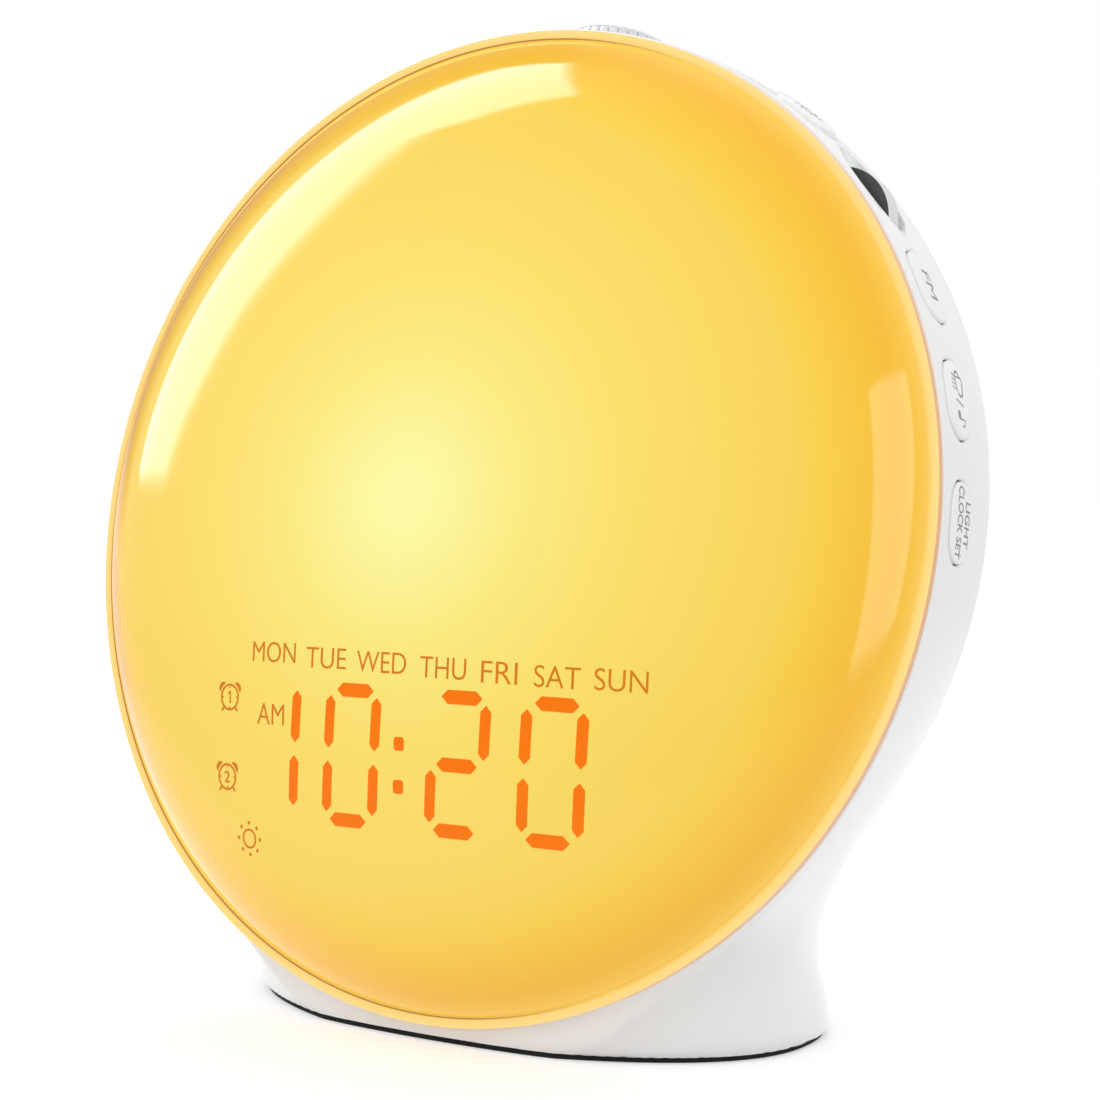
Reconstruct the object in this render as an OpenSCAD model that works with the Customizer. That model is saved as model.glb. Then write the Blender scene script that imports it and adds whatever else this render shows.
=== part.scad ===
// Sunrise alarm clock: an opal dome lens on a white bowl-shaped housing that
// grows out of a flared foot. Millimetres, +Z up, the face looks along -Y.
// The origin is the centre of the foot on the table.

/* [Face] */
// Diameter of the face circle round the lens
face_d = 170; // [150:1:204]
// Backward lean of the face, degrees
tilt = 10; // [4:0.5:14]
// How far the centre of the face stands ahead of the centre of the foot
face_ahead = 18.9; // [14:0.1:24]
// Gap between the lens rim and the table, above the pad
rim_gap = 1.9; // [0.6:0.1:6]

/* [Lens] */
// Wall of the lens
lens_wall = 2; // [1.2:0.1:3]
// Thickness of the flat rim of the lens
lens_edge = 1.4; // [1:0.1:2.4]
// Width of the flat rim
lens_band = 1.5; // [1:0.1:3]
// Step from the lens rim out to the face circle of the housing
lens_lip = 0.5; // [0.2:0.1:1]
// Radius of the rounded shoulder of the dome
shoulder_r = 35; // [26:1:45]
// Slope of the dome at its foot, degrees
shoulder_slope = 50; // [40:1:56]
// Slope where the shoulder meets the flat crown, degrees
crown_slope = 14; // [10:1:20]

/* [Housing] */
// Depth of the bowl behind the face
bowl_depth = 58.9; // [49:0.1:71]
// How far the housing stands proud of the face circle
bowl_proud = 0.2; // [0:0.05:1]
// How square the bowl stays before it turns to the back
bowl_fall = 2.25; // [2:0.01:3]
// How flat the back of the bowl is
bowl_round = 4.05; // [2.6:0.05:4.6]
// Rise of the bowl towards the back, degrees
bowl_lift = 8.5; // [0:0.1:10]
// Wall of the housing
wall = 2.6; // [2:0.1:3.2]
// Size of the fillet between bowl and foot
blend = 29.5; // [10:0.1:40]

/* [Foot] */
// Width of the foot at the table
foot_w = 110; // [96:1:132]
// Depth of the foot at the table
foot_d = 59.2; // [50:0.1:72]
// How square the foot is in plan
foot_round = 2.3; // [2:0.01:3]
// Width lost from the foot to the neck, each side
neck_in_w = 6.2; // [0:0.1:8]
// Depth lost from the foot to the neck, front and back
neck_in_d = 2.2; // [0:0.1:7]
// Height of the flare above the table
flare_h = 12.5; // [6:0.1:20]
// Thickness of the rubber pad
pad_t = 1; // [0.6:0.1:2]
// Thickness of the bottom cover
cover_t = 2; // [1.6:0.1:3]

/* [Side keys] */
// Length of a key cap round the rim
key_l = 12.6; // [9:0.1:13]
// Width of a key cap across the rim
key_w = 8.6; // [6:0.1:9]
// Angle between neighbouring controls
key_pitch = 13; // [12:0.5:16]
// Depth of the row of controls behind the face
key_s = 8.7; // [8.6:0.1:10]
// Travel of a key
key_travel = 0.8; // [0.4:0.1:1]
// Gap round a key in its slot
key_gap = 0.35; // [0.25:0.05:0.5]

/* [Volume wheel] */
// Radius of the thumb wheel
wheel_r = 8.6; // [7:0.1:9]
// Thickness of the thumb wheel
wheel_t = 3.4; // [2.4:0.1:4]
// How far the wheel stands out of the bowl
wheel_proud = 0.5; // [0:0.1:1]
// Half length of the thumb scoop
scoop_l = 10.5; // [10:0.1:11.5]
// Half width of the thumb scoop
scoop_w = 5.5; // [4.6:0.1:6]

/* [Top knob] */
// Radius of the knob
knob_r = 13.1; // [11:0.1:14]
// Height of the knob above the turret foot
knob_h = 6.6; // [5:0.1:9]
// Depth of the knob behind the face
knob_s = 31.2; // [29:0.1:33]
// Backward lean of the knob from the plane of the face, degrees
knob_lean = 14.5; // [10:0.5:19]
// Travel of the knob when it is pressed
knob_travel = 1; // [0.5:0.1:1.2]
// Number of grip ribs round the knob
knob_ribs = 44; // [24:1:60]

/* [Display] */
// Height of a digit between its outer bar centres
digit_h = 20.8; // [17:0.1:22]
// Width of a digit between its upright centres
digit_w = 9.8; // [8:0.1:11]
// Width of a segment
seg_t = 2.2; // [1.6:0.1:2.6]
// Distance from one digit to the next of a pair
digit_pitch = 17.2; // [15:0.1:18]
// Distance between the second and third digits
colon_pitch = 21.3; // [20:0.1:23]

/* [Speaker] */
// Radius of the speaker opening in the back
speaker_r = 19.5; // [16:0.1:20]

/* [Hidden] */
$fn = 64;
far = 400;

// Face frame: x to the right, y up the face, z out of the face.
face_r = face_d / 2;
face_h = pad_t + rim_gap + face_r * cos(tilt);
bowl_r = face_r + bowl_proud;
lift = tan(bowl_lift);
module face_frame() {
    translate([0, -face_ahead, face_h]) rotate([90 - tilt, 0, 0]) children();
}

// ---- The moulded skin ------------------------------------------------------
// Bowl and foot are two solids given by a gap function, negative inside. A
// smooth minimum joins them, and the joint fades out towards the lens rim.
flare_pow = 1.93;
foot_lean = -0.02;
foot_top = 18.3;
foot_tail = 14;
blend_start = 4;
skin_reach = 2.2 * face_r;
skin_heart = [0, -0.235 * face_r, 0.53 * bowl_depth];
bisections = 20;

function bowl_radius(s) = bowl_r
    * pow(max(0, 1 - pow(max(s, 0) / bowl_depth, bowl_fall)), 1 / bowl_round);
function bowl_gap(x, y, s, inset) =
    let (r = bowl_r - inset, d = bowl_depth - inset)
    r * (pow(pow(norm([x, y - lift * s]) / r, bowl_round)
        + pow(max(s, 0) / d, bowl_fall), 1 / bowl_round) - 1);
function foot_gap(x, y, s, inset) =
    let (back = -face_ahead + s * cos(tilt) + y * sin(tilt),
        up = face_h - s * sin(tilt) + y * cos(tilt) - pad_t,
        g = max(up, 0),
        flare = 1 - exp(-pow(g / flare_h, flare_pow)),
        a = foot_w / 2 - neck_in_w * flare - inset,
        b = foot_d / 2 - neck_in_d * flare - inset,
        side = (a + b) / 2 * (pow(pow(abs(x) / a, foot_round)
            + pow(abs(back - foot_lean * g) / b, foot_round), 1 / foot_round) - 1))
    max(side, g - foot_top + inset, -up - foot_tail + inset);
function fade(s) = let (t = min(1, max(0, s / blend_start))) t * t * (3 - 2 * t);
function skin_gap(p, inset) =
    let (a = bowl_gap(p.x, p.y, p.z, inset),
        b = foot_gap(p.x, p.y, p.z, inset),
        k = max(0.01, blend * fade(p.z)),
        h = max(0, 1 - abs(a - b) / k))
    min(a, b) - h * h * h * k / 6;
function skin_hit(from, way, inset, lo, hi, n) = n == 0 ? (lo + hi) / 2 :
    let (m = (lo + hi) / 2)
    skin_gap(from + m * way, inset) < 0
        ? skin_hit(from, way, inset, m, hi, n - 1)
        : skin_hit(from, way, inset, lo, m, n - 1);

// Columns crowd together at the bottom, where the foot has its corners.
function column_angle(u) = -90 + 360 * u - 26 * sin(360 * u);
// One column of skin points from the back pole to the rim, as x, y, depth.
function skin_column(a, rings, inset, rim_s) =
    let (mid = [0, skin_heart.y, rim_s],
        out = [cos(a), sin(a), 0],
        reach = skin_hit(mid, out, inset, 0, skin_reach, bisections),
        turn = atan2(reach, rim_s - skin_heart.z))
    [for (k = [1 : rings]) k == rings ? mid + reach * out :
        let (t = turn * k / rings, way = sin(t) * out + [0, 0, cos(t)])
        skin_heart + way * skin_hit(skin_heart, way, inset, 0, skin_reach, bisections)];
function to_face(p) = [p.x, p.y, -p.z];
module skin(columns, rings, inset, rim_s) {
    pole = skin_heart + [0, 0, 1]
        * skin_hit(skin_heart, [0, 0, 1], inset, 0, skin_reach, bisections);
    net = [for (i = [0 : columns - 1])
        skin_column(column_angle(i / columns), rings, inset, rim_s)];
    points = concat([to_face(pole)],
        [for (column = net) for (p = column) to_face(p)]);
    at = function (i, k) 1 + (i % columns) * rings + k;
    faces = concat(
        [for (i = [0 : columns - 1]) [0, at(i, 0), at(i + 1, 0)]],
        [for (i = [0 : columns - 1]) for (k = [0 : rings - 2])
            [at(i, k), at(i, k + 1), at(i + 1, k)]],
        [for (i = [0 : columns - 1]) for (k = [0 : rings - 2])
            [at(i + 1, k), at(i, k + 1), at(i + 1, k + 1)]],
        [[for (i = [0 : columns - 1]) at(columns - i, rings - 1)]]);
    polyhedron(points, faces, convexity = 4);
}

// ---- Lens profile ----------------------------------------------------------
lens_r = face_r - lens_lip;
dome_foot = lens_r - lens_band;
shoulder_c = [dome_foot - shoulder_r * sin(shoulder_slope),
    -shoulder_r * cos(shoulder_slope)];
crown_r = (shoulder_c.x + shoulder_r * sin(crown_slope)) / sin(crown_slope);
crown_c = shoulder_c.y - (crown_r - shoulder_r) * cos(crown_slope);
arc_steps = 8;
// Points of the dome from its apex to its foot, moved inwards by inset.
function dome_points(inset, foot_slope) = concat(
    [for (i = [0 : arc_steps]) let (b = crown_slope * i / arc_steps)
        [(crown_r - inset) * sin(b), crown_c + (crown_r - inset) * cos(b)]],
    [for (i = [1 : arc_steps])
        let (b = crown_slope + (foot_slope - crown_slope) * i / arc_steps)
        shoulder_c + (shoulder_r - inset) * [sin(b), cos(b)]]);
function reverse(list) = [for (i = [len(list) - 1 : -1 : 0]) list[i]];

// ---- Shared sizes ----------------------------------------------------------
board_t = 1.6;
spigot_h = 1.2;
spigot_r = face_r - 3.1;
spigot_wall = 1.2;
pan_s = lens_edge + spigot_h + 0.1;
pan_t = 1.6;
pan_r = face_r - 5.9;
pan_floor_s = pan_s + 9.5;
pan_floor_r = 50;
pan_step_r = 60;
// Housing columns that take the long screws, and the bosses that they pull on
column_at = 0.87 * face_r;
column_angles = [-35, 72, 108, 215];
column_r = 4.6;
column_s = pan_s + pan_t;
screw_well_r = 3.1;
screw_seat_t = 3.7;
screw_r = 1.4;
screw_gap = 0.05;
boss_h = 3.9;

function polar(r, a) = [r * cos(a), r * sin(a), 0];
module at_columns() {
    for (a = column_angles) translate(polar(column_at, a)) children();
}
// Cylinder along the face axis between two depths.
module deep(r, s1, s2) {
    translate([0, 0, -s2]) cylinder(r = r, h = s2 - s1);
}
// Box centred in x and y between two depths.
module deep_box(w, h, s1, s2) {
    translate([-w / 2, -h / 2, -s2]) cube([w, h, s2 - s1]);
}

// ---- Foot outline ----------------------------------------------------------
function superellipse(a, b, n, count) = [for (i = [0 : count - 1])
    let (t = 360 * i / count, c = cos(t), s = sin(t))
    [a * sign(c) * pow(abs(c), 2 / n), b * sign(s) * pow(abs(s), 2 / n)]];
module foot_plate(inset, z, h) {
    translate([0, 0, z]) linear_extrude(h)
        polygon(superellipse(foot_w / 2 - inset, foot_d / 2 - inset, foot_round, 72));
}
base_screw_x = 0.5 * foot_w - 15;
base_screw_y = 0.5 * foot_d - 17.5;
base_boss_r = 4;
base_boss_h = 18;
base_pilot_r = 1.25;
module at_base_screws() {
    for (x = [-1, 1]) for (y = [-1, 1])
        translate([x * base_screw_x, y * base_screw_y, pad_t]) children();
}

// ---- Controls on the rim ---------------------------------------------------
// Point and outward slope of the bowl at an angle round the face and a depth.
function rim_point(a, s) = [bowl_radius(s) * cos(a),
    lift * s + bowl_radius(s) * sin(a), -s];
function rim_slope(a, s) = atan(bowl_radius(s + 0.5) - bowl_radius(s - 0.5)
    + lift * sin(a));
// Frame on the bowl: x outwards, y round the rim, z towards the face.
module rim_frame(a, s) {
    translate(rim_point(a, s)) rotate([0, 0, a]) rotate([0, -rim_slope(a, s), 0])
        children();
}
// Upright oval and its bevelled ring, both along x.
module oval(l, w, x1, x2) {
    translate([x1, 0, 0]) rotate([0, 90, 0]) linear_extrude(x2 - x1) {
        square([w, l - w], center = true);
        for (y = [-1, 1]) translate([0, y * (l - w) / 2]) circle(d = w);
    }
}
module oval_bevel(l, w, x1, x2, grow) {
    for (y = [-1, 1]) translate([x1, y * (l - w) / 2, 0]) rotate([0, 90, 0])
        cylinder(r1 = w / 2, r2 = w / 2 + grow, h = x2 - x1);
    translate([0, (l - w) / 2, 0]) rotate([90, 0, 0]) linear_extrude(l - w)
        polygon([[x1, -w / 2], [x2, -w / 2 - grow], [x2, w / 2 + grow], [x1, w / 2]]);
}
key_sink = 0.35;
key_chamfer = 0.4;
key_flare = 0.7;
key_flare_h = 0.9;
flange_grow = 2.6;
flange_t = 1.2;
seat_gap = 0.3;
skin_sag = 0.3;
flange_top = wall + pow(key_l + flange_grow, 2) / (8 * (bowl_r - wall)) + seat_gap + skin_sag;
stem_r = 1.8;
switch_size = 6;
switch_h = 3.5;
switch_stub_h = 0.6;
switch_stub_r = 1.5;
// Each group of keys works on one flat board that faces the middle of the group.
right_mid = key_pitch;
left_mid = 180 - key_pitch;
upper_mid = 4 * key_pitch;
side_board_x = bowl_r - 21;
side_board_l = 0.55 * bowl_r;
upper_board_l = 13;
side_board_w = 7;
right_keys = [0, key_pitch, 2 * key_pitch];
left_keys = [180, 180 - key_pitch, 180 - 2 * key_pitch];
upper_keys = [4 * key_pitch];
// Place of a key in the frame of its board: outwards, along.
function board_spot(a, mid) = let (p = rim_point(a, key_s))
    [p.x * cos(mid) + p.y * sin(mid), -p.x * sin(mid) + p.y * cos(mid)];
module board_frame(mid) {
    rotate([0, 0, mid]) translate([0, 0, -key_s]) children();
}
module side_board(mid, l) {
    board_frame(mid) translate([side_board_x, -l / 2 + board_spot(mid, mid).y,
        -side_board_w / 2]) cube([board_t, l, side_board_w]);
}
module board_rests(mid, l) {
    rest_t = 3;
    rest_w = 4;
    for (y = [-1, 1]) board_frame(mid)
        translate([side_board_x - rest_t,
            y * (l / 2 - rest_w) - rest_w / 2 + board_spot(mid, mid).y, -far / 2])
        cube([rest_t, rest_w, far / 2 + side_board_w / 2]);
}
module side_switches(mid, keys) {
    for (a = keys) board_frame(mid)
        translate([side_board_x + board_t, board_spot(a, mid).y, 0]) {
            translate([0, -switch_size / 2, -switch_size / 2])
                cube([switch_h, switch_size, switch_size]);
            rotate([0, 90, 0])
                cylinder(r = switch_stub_r, h = switch_h + switch_stub_h);
        }
}
module key(a, mid) {
    tip_x = side_board_x + board_t + switch_h + switch_stub_h + key_travel + 0.1;
    spot = board_spot(a, mid);
    face_frame() {
        rim_frame(a, key_s) {
            oval(key_l, key_w, -flange_top - flange_t, -key_sink - key_chamfer);
            translate([-key_sink, 0, 0]) mirror([1, 0, 0])
                oval_bevel(key_l - 2 * key_chamfer, key_w - 2 * key_chamfer,
                    0, key_chamfer, key_chamfer);
            oval(key_l + flange_grow, key_w + flange_grow,
                -flange_top - flange_t, -flange_top);
        }
        board_frame(mid) translate([tip_x, spot.y, 0]) rotate([0, 90, 0])
            cylinder(r = stem_r, h = spot.x - flange_top - flange_t / 2 - tip_x);
    }
}
module key_slots() {
    for (a = concat(right_keys, left_keys, upper_keys)) rim_frame(a, key_s) {
        oval(key_l + 2 * key_gap, key_w + 2 * key_gap, -2 * wall, 2);
        oval_bevel(key_l + 2 * key_gap, key_w + 2 * key_gap,
            -key_flare_h, key_flare_h, 2 * key_flare);
    }
}

// ---- Volume wheel ----------------------------------------------------------
wheel_a = 3 * key_pitch + 0.3;
wheel_s = key_s;
wheel_at = norm([rim_point(wheel_a, wheel_s).x, rim_point(wheel_a, wheel_s).y])
    + wheel_proud - wheel_r;
wheel_clear = 0.4;
wheel_pin_r = 1.2;
wheel_pin_gap = 0.05;
wheel_pin_l = 3.4;
wheel_notches = 28;
encoder_w = 8;
encoder_t = 4;
encoder_in = encoder_w / 2 - wheel_pin_r - 0.85;
wheel_back = wheel_s + wheel_t / 2;
encoder_s = wheel_back + 0.6;
wheel_board_s = encoder_s + encoder_t;
wheel_board_in = 8;
module wheel_frame() {
    rotate([0, 0, wheel_a]) translate([wheel_at, 0, 0]) children();
}
// Spindle: a circular arc turned about its own chord, pointed at both ends.
module spindle(half_l, half_w) {
    r = (half_l * half_l + half_w * half_w) / (2 * half_w);
    a = asin(half_l / r);
    steps = 8;
    rotate([90, 0, 0]) rotate_extrude()
        polygon([for (i = [-steps : steps]) let (t = a * i / steps)
            [abs(i) == steps ? 0 : r * cos(t) - r + half_w, r * sin(t)]]);
}
module wheel_scoop(grow_l, grow_w) {
    rim_frame(wheel_a, wheel_s) spindle(scoop_l + grow_l, scoop_w + grow_w);
}

// ---- Top knob --------------------------------------------------------------
knob_skirt = 4;
knob_gap = 0.4;
turret_wall = 2.2;
turret_top = -1.4;
well_depth = 5.5;
well_floor = 2;
knob_stem_r = 3;
knob_stem_gap = 0.05;
knob_fillet = 1.2;
knob_draft = 0.5;
groove_w = 0.5;
groove_deep = 0.45;
encoder_box = 14;
encoder_box_h = 8.4;
encoder_neck_h = 4.2;
plunger_r = 4.2;
plunger_t = 1.5;
plunger_gap = 0.1;
knob_end = well_depth + well_floor + encoder_neck_h + 1.2;
encoder_end = well_depth + well_floor + encoder_box_h;
// Frame on the knob axis: z out of the housing, origin on the bowl.
module knob_frame() {
    translate(rim_point(90, knob_s)) rotate([-(90 + knob_lean), 0, 0]) children();
}
module knob_rod(r, z1, z2) {
    translate([0, 0, z1]) cylinder(r = r, h = z2 - z1);
}

// ---- Back of the housing ---------------------------------------------------
back_y = lift * bowl_depth;
grille_y = back_y + 18;
grille_seat = 1.8;
grille_t = 1.6;
grille_r = speaker_r + 2.5;
grille_gap = 0.2;
grille_s = bowl_depth - 1.6;
ring_r = grille_r + 2.6;
ring_s = grille_s - grille_seat - 3.4;
ports = [22, back_y - 22];
port_pocket = [30, 13];
port_s = bowl_depth - 4.2;
port_floor = 2.4;
jack_x = -8;
usb_x = 6;
jack_r = 4;
jack_gap = 0.15;
usb_w = 13.2;
usb_h = 5.7;
usb_gap = 0.2;
door = [-22, back_y - 23];
door_w = 28;
door_t = 1.6;
door_gap = 0.2;
door_s = bowl_depth - 5.6;
cell_window = 22;
door_pad = 2.2;
cell_r = 10;
cell_h = 3.2;
holder_w = 26;
holder_h = 6;
cell_shift = 1.6;
battery_screw_y = -door_w / 2 + 3.2;
lead_hole_r = 1.2;
module at_back(spot) {
    translate([spot.x, spot.y, 0]) children();
}

// ---- Housing ---------------------------------------------------------------
module housing_ribs() {
    face_frame() {
        at_columns() deep(column_r, column_s, far / 2);
        translate([0, grille_y, 0]) deep(ring_r, ring_s, far / 2);
        at_back(ports) deep_box(port_pocket.x + 2 * wall, port_pocket.y + 2 * wall,
            port_s - port_floor, far / 2);
        at_back(door) deep_box(door_w + 2 * wall, door_w + 2 * wall,
            door_s - door_pad, far / 2);
        board_rests(right_mid, side_board_l);
        board_rests(left_mid, side_board_l);
        board_rests(upper_mid, upper_board_l);
        knob_frame() knob_rod(knob_r + knob_gap + turret_wall,
            -well_depth - well_floor, turret_top);
        wheel_scoop(0.8, 1.9);
        wheel_frame() translate([-wheel_board_in, 0, 0])
            deep(3, wheel_board_s + board_t, far / 2);
    }
    at_base_screws() translate([0, 0, cover_t]) {
        cylinder(r = base_boss_r, h = base_boss_h);
        for (y = [0, 180]) rotate([0, 0, y]) translate([-1, base_boss_r / 2, 0])
            cube([2, base_screw_y, base_boss_h]);
    }
}
module housing_cuts() {
    face_frame() {
        key_slots();
        wheel_scoop(0, 0);
        wheel_frame() deep(wheel_r + wheel_clear, wheel_s - wheel_t / 2 - wheel_clear,
            wheel_back + wheel_clear);
        wheel_frame() translate([-encoder_in, 0, 0]) deep_box(encoder_w + 2 * seat_gap,
            encoder_w + 2 * seat_gap, encoder_s - seat_gap, wheel_board_s + board_t);
        knob_frame() {
            knob_rod(knob_r + knob_gap, -well_depth, far / 8);
            knob_rod(knob_stem_r + seat_gap, -2 * well_depth, 0);
        }
        at_columns() {
            deep(screw_r + 0.3, column_s - 1, far / 2);
            deep(screw_well_r, column_s + screw_seat_t, far / 2);
        }
        translate([0, grille_y, 0]) {
            deep(grille_r + grille_gap, grille_s - grille_t, far / 2);
            deep(speaker_r, ring_s - 1, far / 2);
        }
        at_back(ports) {
            deep_box(port_pocket.x, port_pocket.y, port_s, far / 2);
            translate([jack_x, 0, 0]) deep(jack_r + jack_gap, port_s - 2 * port_floor, far / 2);
            translate([usb_x, 0, 0]) deep_box(usb_w + 2 * usb_gap, usb_h + 2 * usb_gap,
                port_s - 2 * port_floor, far / 2);
        }
        at_back(door) {
            deep_box(door_w + 2 * door_gap, door_w + 2 * door_gap, door_s, far / 2);
            translate([0, cell_shift, 0])
                deep_box(cell_window, cell_window, door_s - 2 * door_pad, far / 2);
            translate([0, battery_screw_y, 0]) deep(0.9, door_s - door_pad + 0.2, far / 2);
        }
        translate([0, back_y - 36, 0]) deep(lead_hole_r, bowl_depth / 2, far / 2);
    }
    at_base_screws() translate([0, 0, cover_t]) cylinder(r = base_pilot_r, h = 12);
}
module rear_housing() {
    color("white") difference() {
        intersection() {
            union() {
                face_frame() skin(128, 30, 0, lens_edge);
                face_frame() knob_frame() knob_rod(knob_r + knob_gap + turret_wall,
                    -well_depth - well_floor, turret_top);
            }
            translate([-far / 2, -far / 2, pad_t]) cube(far);
        }
        difference() {
            face_frame() skin(76, 18, wall, -1);
            housing_ribs();
        }
        foot_plate(wall, pad_t - 1, cover_t + 1);
        housing_cuts();
    }
}
module base_cover() {
    color("whitesmoke") difference() {
        foot_plate(wall + 0.2, pad_t, cover_t);
        at_base_screws() {
            translate([0, 0, -1]) cylinder(r = screw_r + 0.15, h = cover_t + 2);
            translate([0, 0, -1]) cylinder(r = 2.8, h = 2.2);
        }
    }
}
module grip_pad() {
    color("dimgray") foot_plate(0.9, 0, pad_t);
}
module base_screws() {
    color("silver") at_base_screws() {
        translate([0, 0, 0.05]) cylinder(r = 2.6, h = 1.1);
        translate([0, 0, 0.05]) cylinder(r = base_pilot_r - screw_gap, h = 11);
    }
}

// ---- Front assembly --------------------------------------------------------
module front_lens() {
    inner_foot = asin((spigot_r - spigot_wall - shoulder_c.x) / (shoulder_r - lens_wall));
    color("gold") face_frame() rotate_extrude($fn = 96)
        polygon(concat(
            dome_points(0, shoulder_slope),
            [[lens_r, 0],
            [lens_r, -lens_edge],
            [spigot_r, -lens_edge],
            [spigot_r, -lens_edge - spigot_h],
            [spigot_r - spigot_wall, -lens_edge - spigot_h]],
            reverse(dome_points(lens_wall, inner_foot))));
}
module reflector_pan() {
    color("white") face_frame() difference() {
        union() {
            rotate_extrude($fn = 96) polygon([
                [0, -pan_floor_s - pan_t],
                [pan_floor_r + 1, -pan_floor_s - pan_t],
                [pan_step_r + 1, -pan_s - pan_t],
                [pan_r, -pan_s - pan_t],
                [pan_r, -pan_s],
                [pan_step_r, -pan_s],
                [pan_floor_r, -pan_floor_s],
                [0, -pan_floor_s]]);
            at_columns() deep(4, pan_s - boss_h + pan_t, pan_s + pan_t / 2);
            for (p = display_posts) translate(p) deep(2.6, pan_s, pan_floor_s + pan_t / 2);
            for (p = main_posts) translate(p) deep(3, pan_floor_s, main_s);
        }
        at_columns() deep(screw_r + screw_gap, pan_s - boss_h + pan_t + 0.8, column_s + 1);
        for (p = display_posts) translate(p) deep(post_pilot_r, pan_s - 1, pan_s + 6);
        for (p = main_posts) translate(p) deep(post_pilot_r, main_s - 5, main_s + 1);
        for (a = [30, 150, 270]) translate(polar(lamp_screw_at, a))
            deep(post_pilot_r, pan_floor_s - 1, pan_floor_s + pan_t + 1);
    }
}
post_pilot_r = 1.1;
lamp_r = 28;
lamp_screw_at = 25;
led_size = 5;
led_h = 1.5;
module lamp_board() {
    color("ghostwhite") face_frame() difference() {
        deep(lamp_r, pan_floor_s - board_t, pan_floor_s);
        for (a = [30, 150, 270]) translate(polar(lamp_screw_at, a))
            deep(1.3, pan_floor_s - 2 * board_t, pan_floor_s + 1);
    }
}
module lamp_leds() {
    top = pan_floor_s - board_t;
    color("khaki") face_frame() {
        deep_box(led_size, led_size, top - led_h, top);
        for (ring = [[6, 9.5], [12, 19]]) for (i = [0 : ring.x - 1])
            rotate([0, 0, 360 * i / ring.x]) translate([ring.y, 0, 0])
                deep_box(led_size, led_size, top - led_h, top);
    }
}

// ---- Display ---------------------------------------------------------------
display_y = -52.6;
first_x = -30.7;
colon_shift = -6;
slant = 2.6;
week_y = -26.5;
week_h = 3.5;
// Left edges and widths of the seven weekday windows
week_x = [-31.2, -18.4, -7.1, 5.7, 17.4, 26.8, 37];
week_w = [11, 9.4, 10.8, 9.4, 7.2, 8.6, 9.6];
half_day = [-29.6, 6.9, 3.6];
half_day_y = [-38.5, -48.5];
icon_spots = [[-36.5, -33.8], [-36.9, -47.5], [-31.5, -57.4]];
icon_r = 3.2;
window_gap = 0.05;
box_clear = 0.6;
box_s = pan_s - board_t;
film_t = 2;
display_posts = [[-22, -30, 0], [26, -34, 0], [0, -38.5, 0]];
digit_spots = [first_x, first_x + digit_pitch, first_x + digit_pitch + colon_pitch,
    first_x + 2 * digit_pitch + colon_pitch];
// A bar with pointed ends, lying along x from the origin.
module bar(l, grow) {
    t = seg_t / 2 + grow;
    g = 0.25 - grow;
    polygon([[g, 0], [g + t, t], [l - g - t, t], [l - g, 0], [l - g - t, -t], [g + t, -t]]);
}
module segment(index, grow) {
    half = digit_h / 2;
    if (index == "a") translate([0, 2 * half]) bar(digit_w, grow);
    if (index == "g") translate([0, half]) bar(digit_w, grow);
    if (index == "d") bar(digit_w, grow);
    if (index == "f") translate([0, half]) rotate(90) bar(half, grow);
    if (index == "e") rotate(90) bar(half, grow);
    if (index == "b") translate([digit_w, half]) rotate(90) bar(half, grow);
    if (index == "c") translate([digit_w, 0]) rotate(90) bar(half, grow);
}
module digits(grow) {
    for (i = [0 : 3]) translate([digit_spots[i], display_y]) rotate(-slant)
        for (index = i == 0 ? "bc" : "abcdefg") segment(index, grow);
    for (h = [0.295, 0.625]) translate([digit_spots[2] + colon_shift + 0.4 * h,
        display_y + h * digit_h])
        square([1.9 + 2 * grow, 2.4 + 2 * grow], center = true);
}
module legends(grow) {
    for (i = [0 : 6]) translate([week_x[i] - grow, week_y - week_h / 2 - grow])
        square([week_w[i] + 2 * grow, week_h + 2 * grow]);
    for (y = half_day_y) translate([half_day.x - grow, y - grow])
        square([half_day.y + 2 * grow, half_day.z + 2 * grow]);
    for (p = icon_spots) translate(p) circle(r = icon_r + grow);
}
module display_outline(inset) {
    translate([-42 + inset, -31.5 + inset]) square([91 - 2 * inset, 9.5 - 2 * inset]);
    translate([-42 + inset, -62.5 + inset]) square([82 - 2 * inset, 40.5 - 2 * inset]);
}
// Everything under the lens, a clearance below its inner face.
module under_dome(inset) {
    rotate_extrude($fn = 96) polygon(concat(
        dome_points(lens_wall + box_clear + inset, shoulder_slope - 3),
        [[spigot_r - spigot_wall - box_clear, -far / 8], [0, -far / 8]]));
}
module display_box() {
    color("whitesmoke") face_frame() difference() {
        intersection() {
            translate([0, 0, -box_s]) linear_extrude(30) display_outline(0);
            under_dome(0);
        }
        translate([0, 0, -box_s - 1]) linear_extrude(40) {
            digits(0);
            legends(0);
        }
    }
}
// The diffusers fill the wells from just under the top.
module diffuser() {
    intersection() {
        difference() {
            under_dome(0);
            under_dome(film_t);
        }
        translate([0, 0, -box_s]) linear_extrude(30) children();
    }
}
module display_segments() {
    color("orangered") face_frame() diffuser() digits(-window_gap);
}
module legend_windows() {
    color("darkorange") face_frame() diffuser() legends(-window_gap);
}
module display_board() {
    color("seagreen") face_frame() difference() {
        translate([0, 0, -pan_s]) linear_extrude(board_t) display_outline(0.5);
        for (p = display_posts) translate(p) deep(1.3, pan_s - 2 * board_t, pan_s + 1);
    }
}

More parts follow.
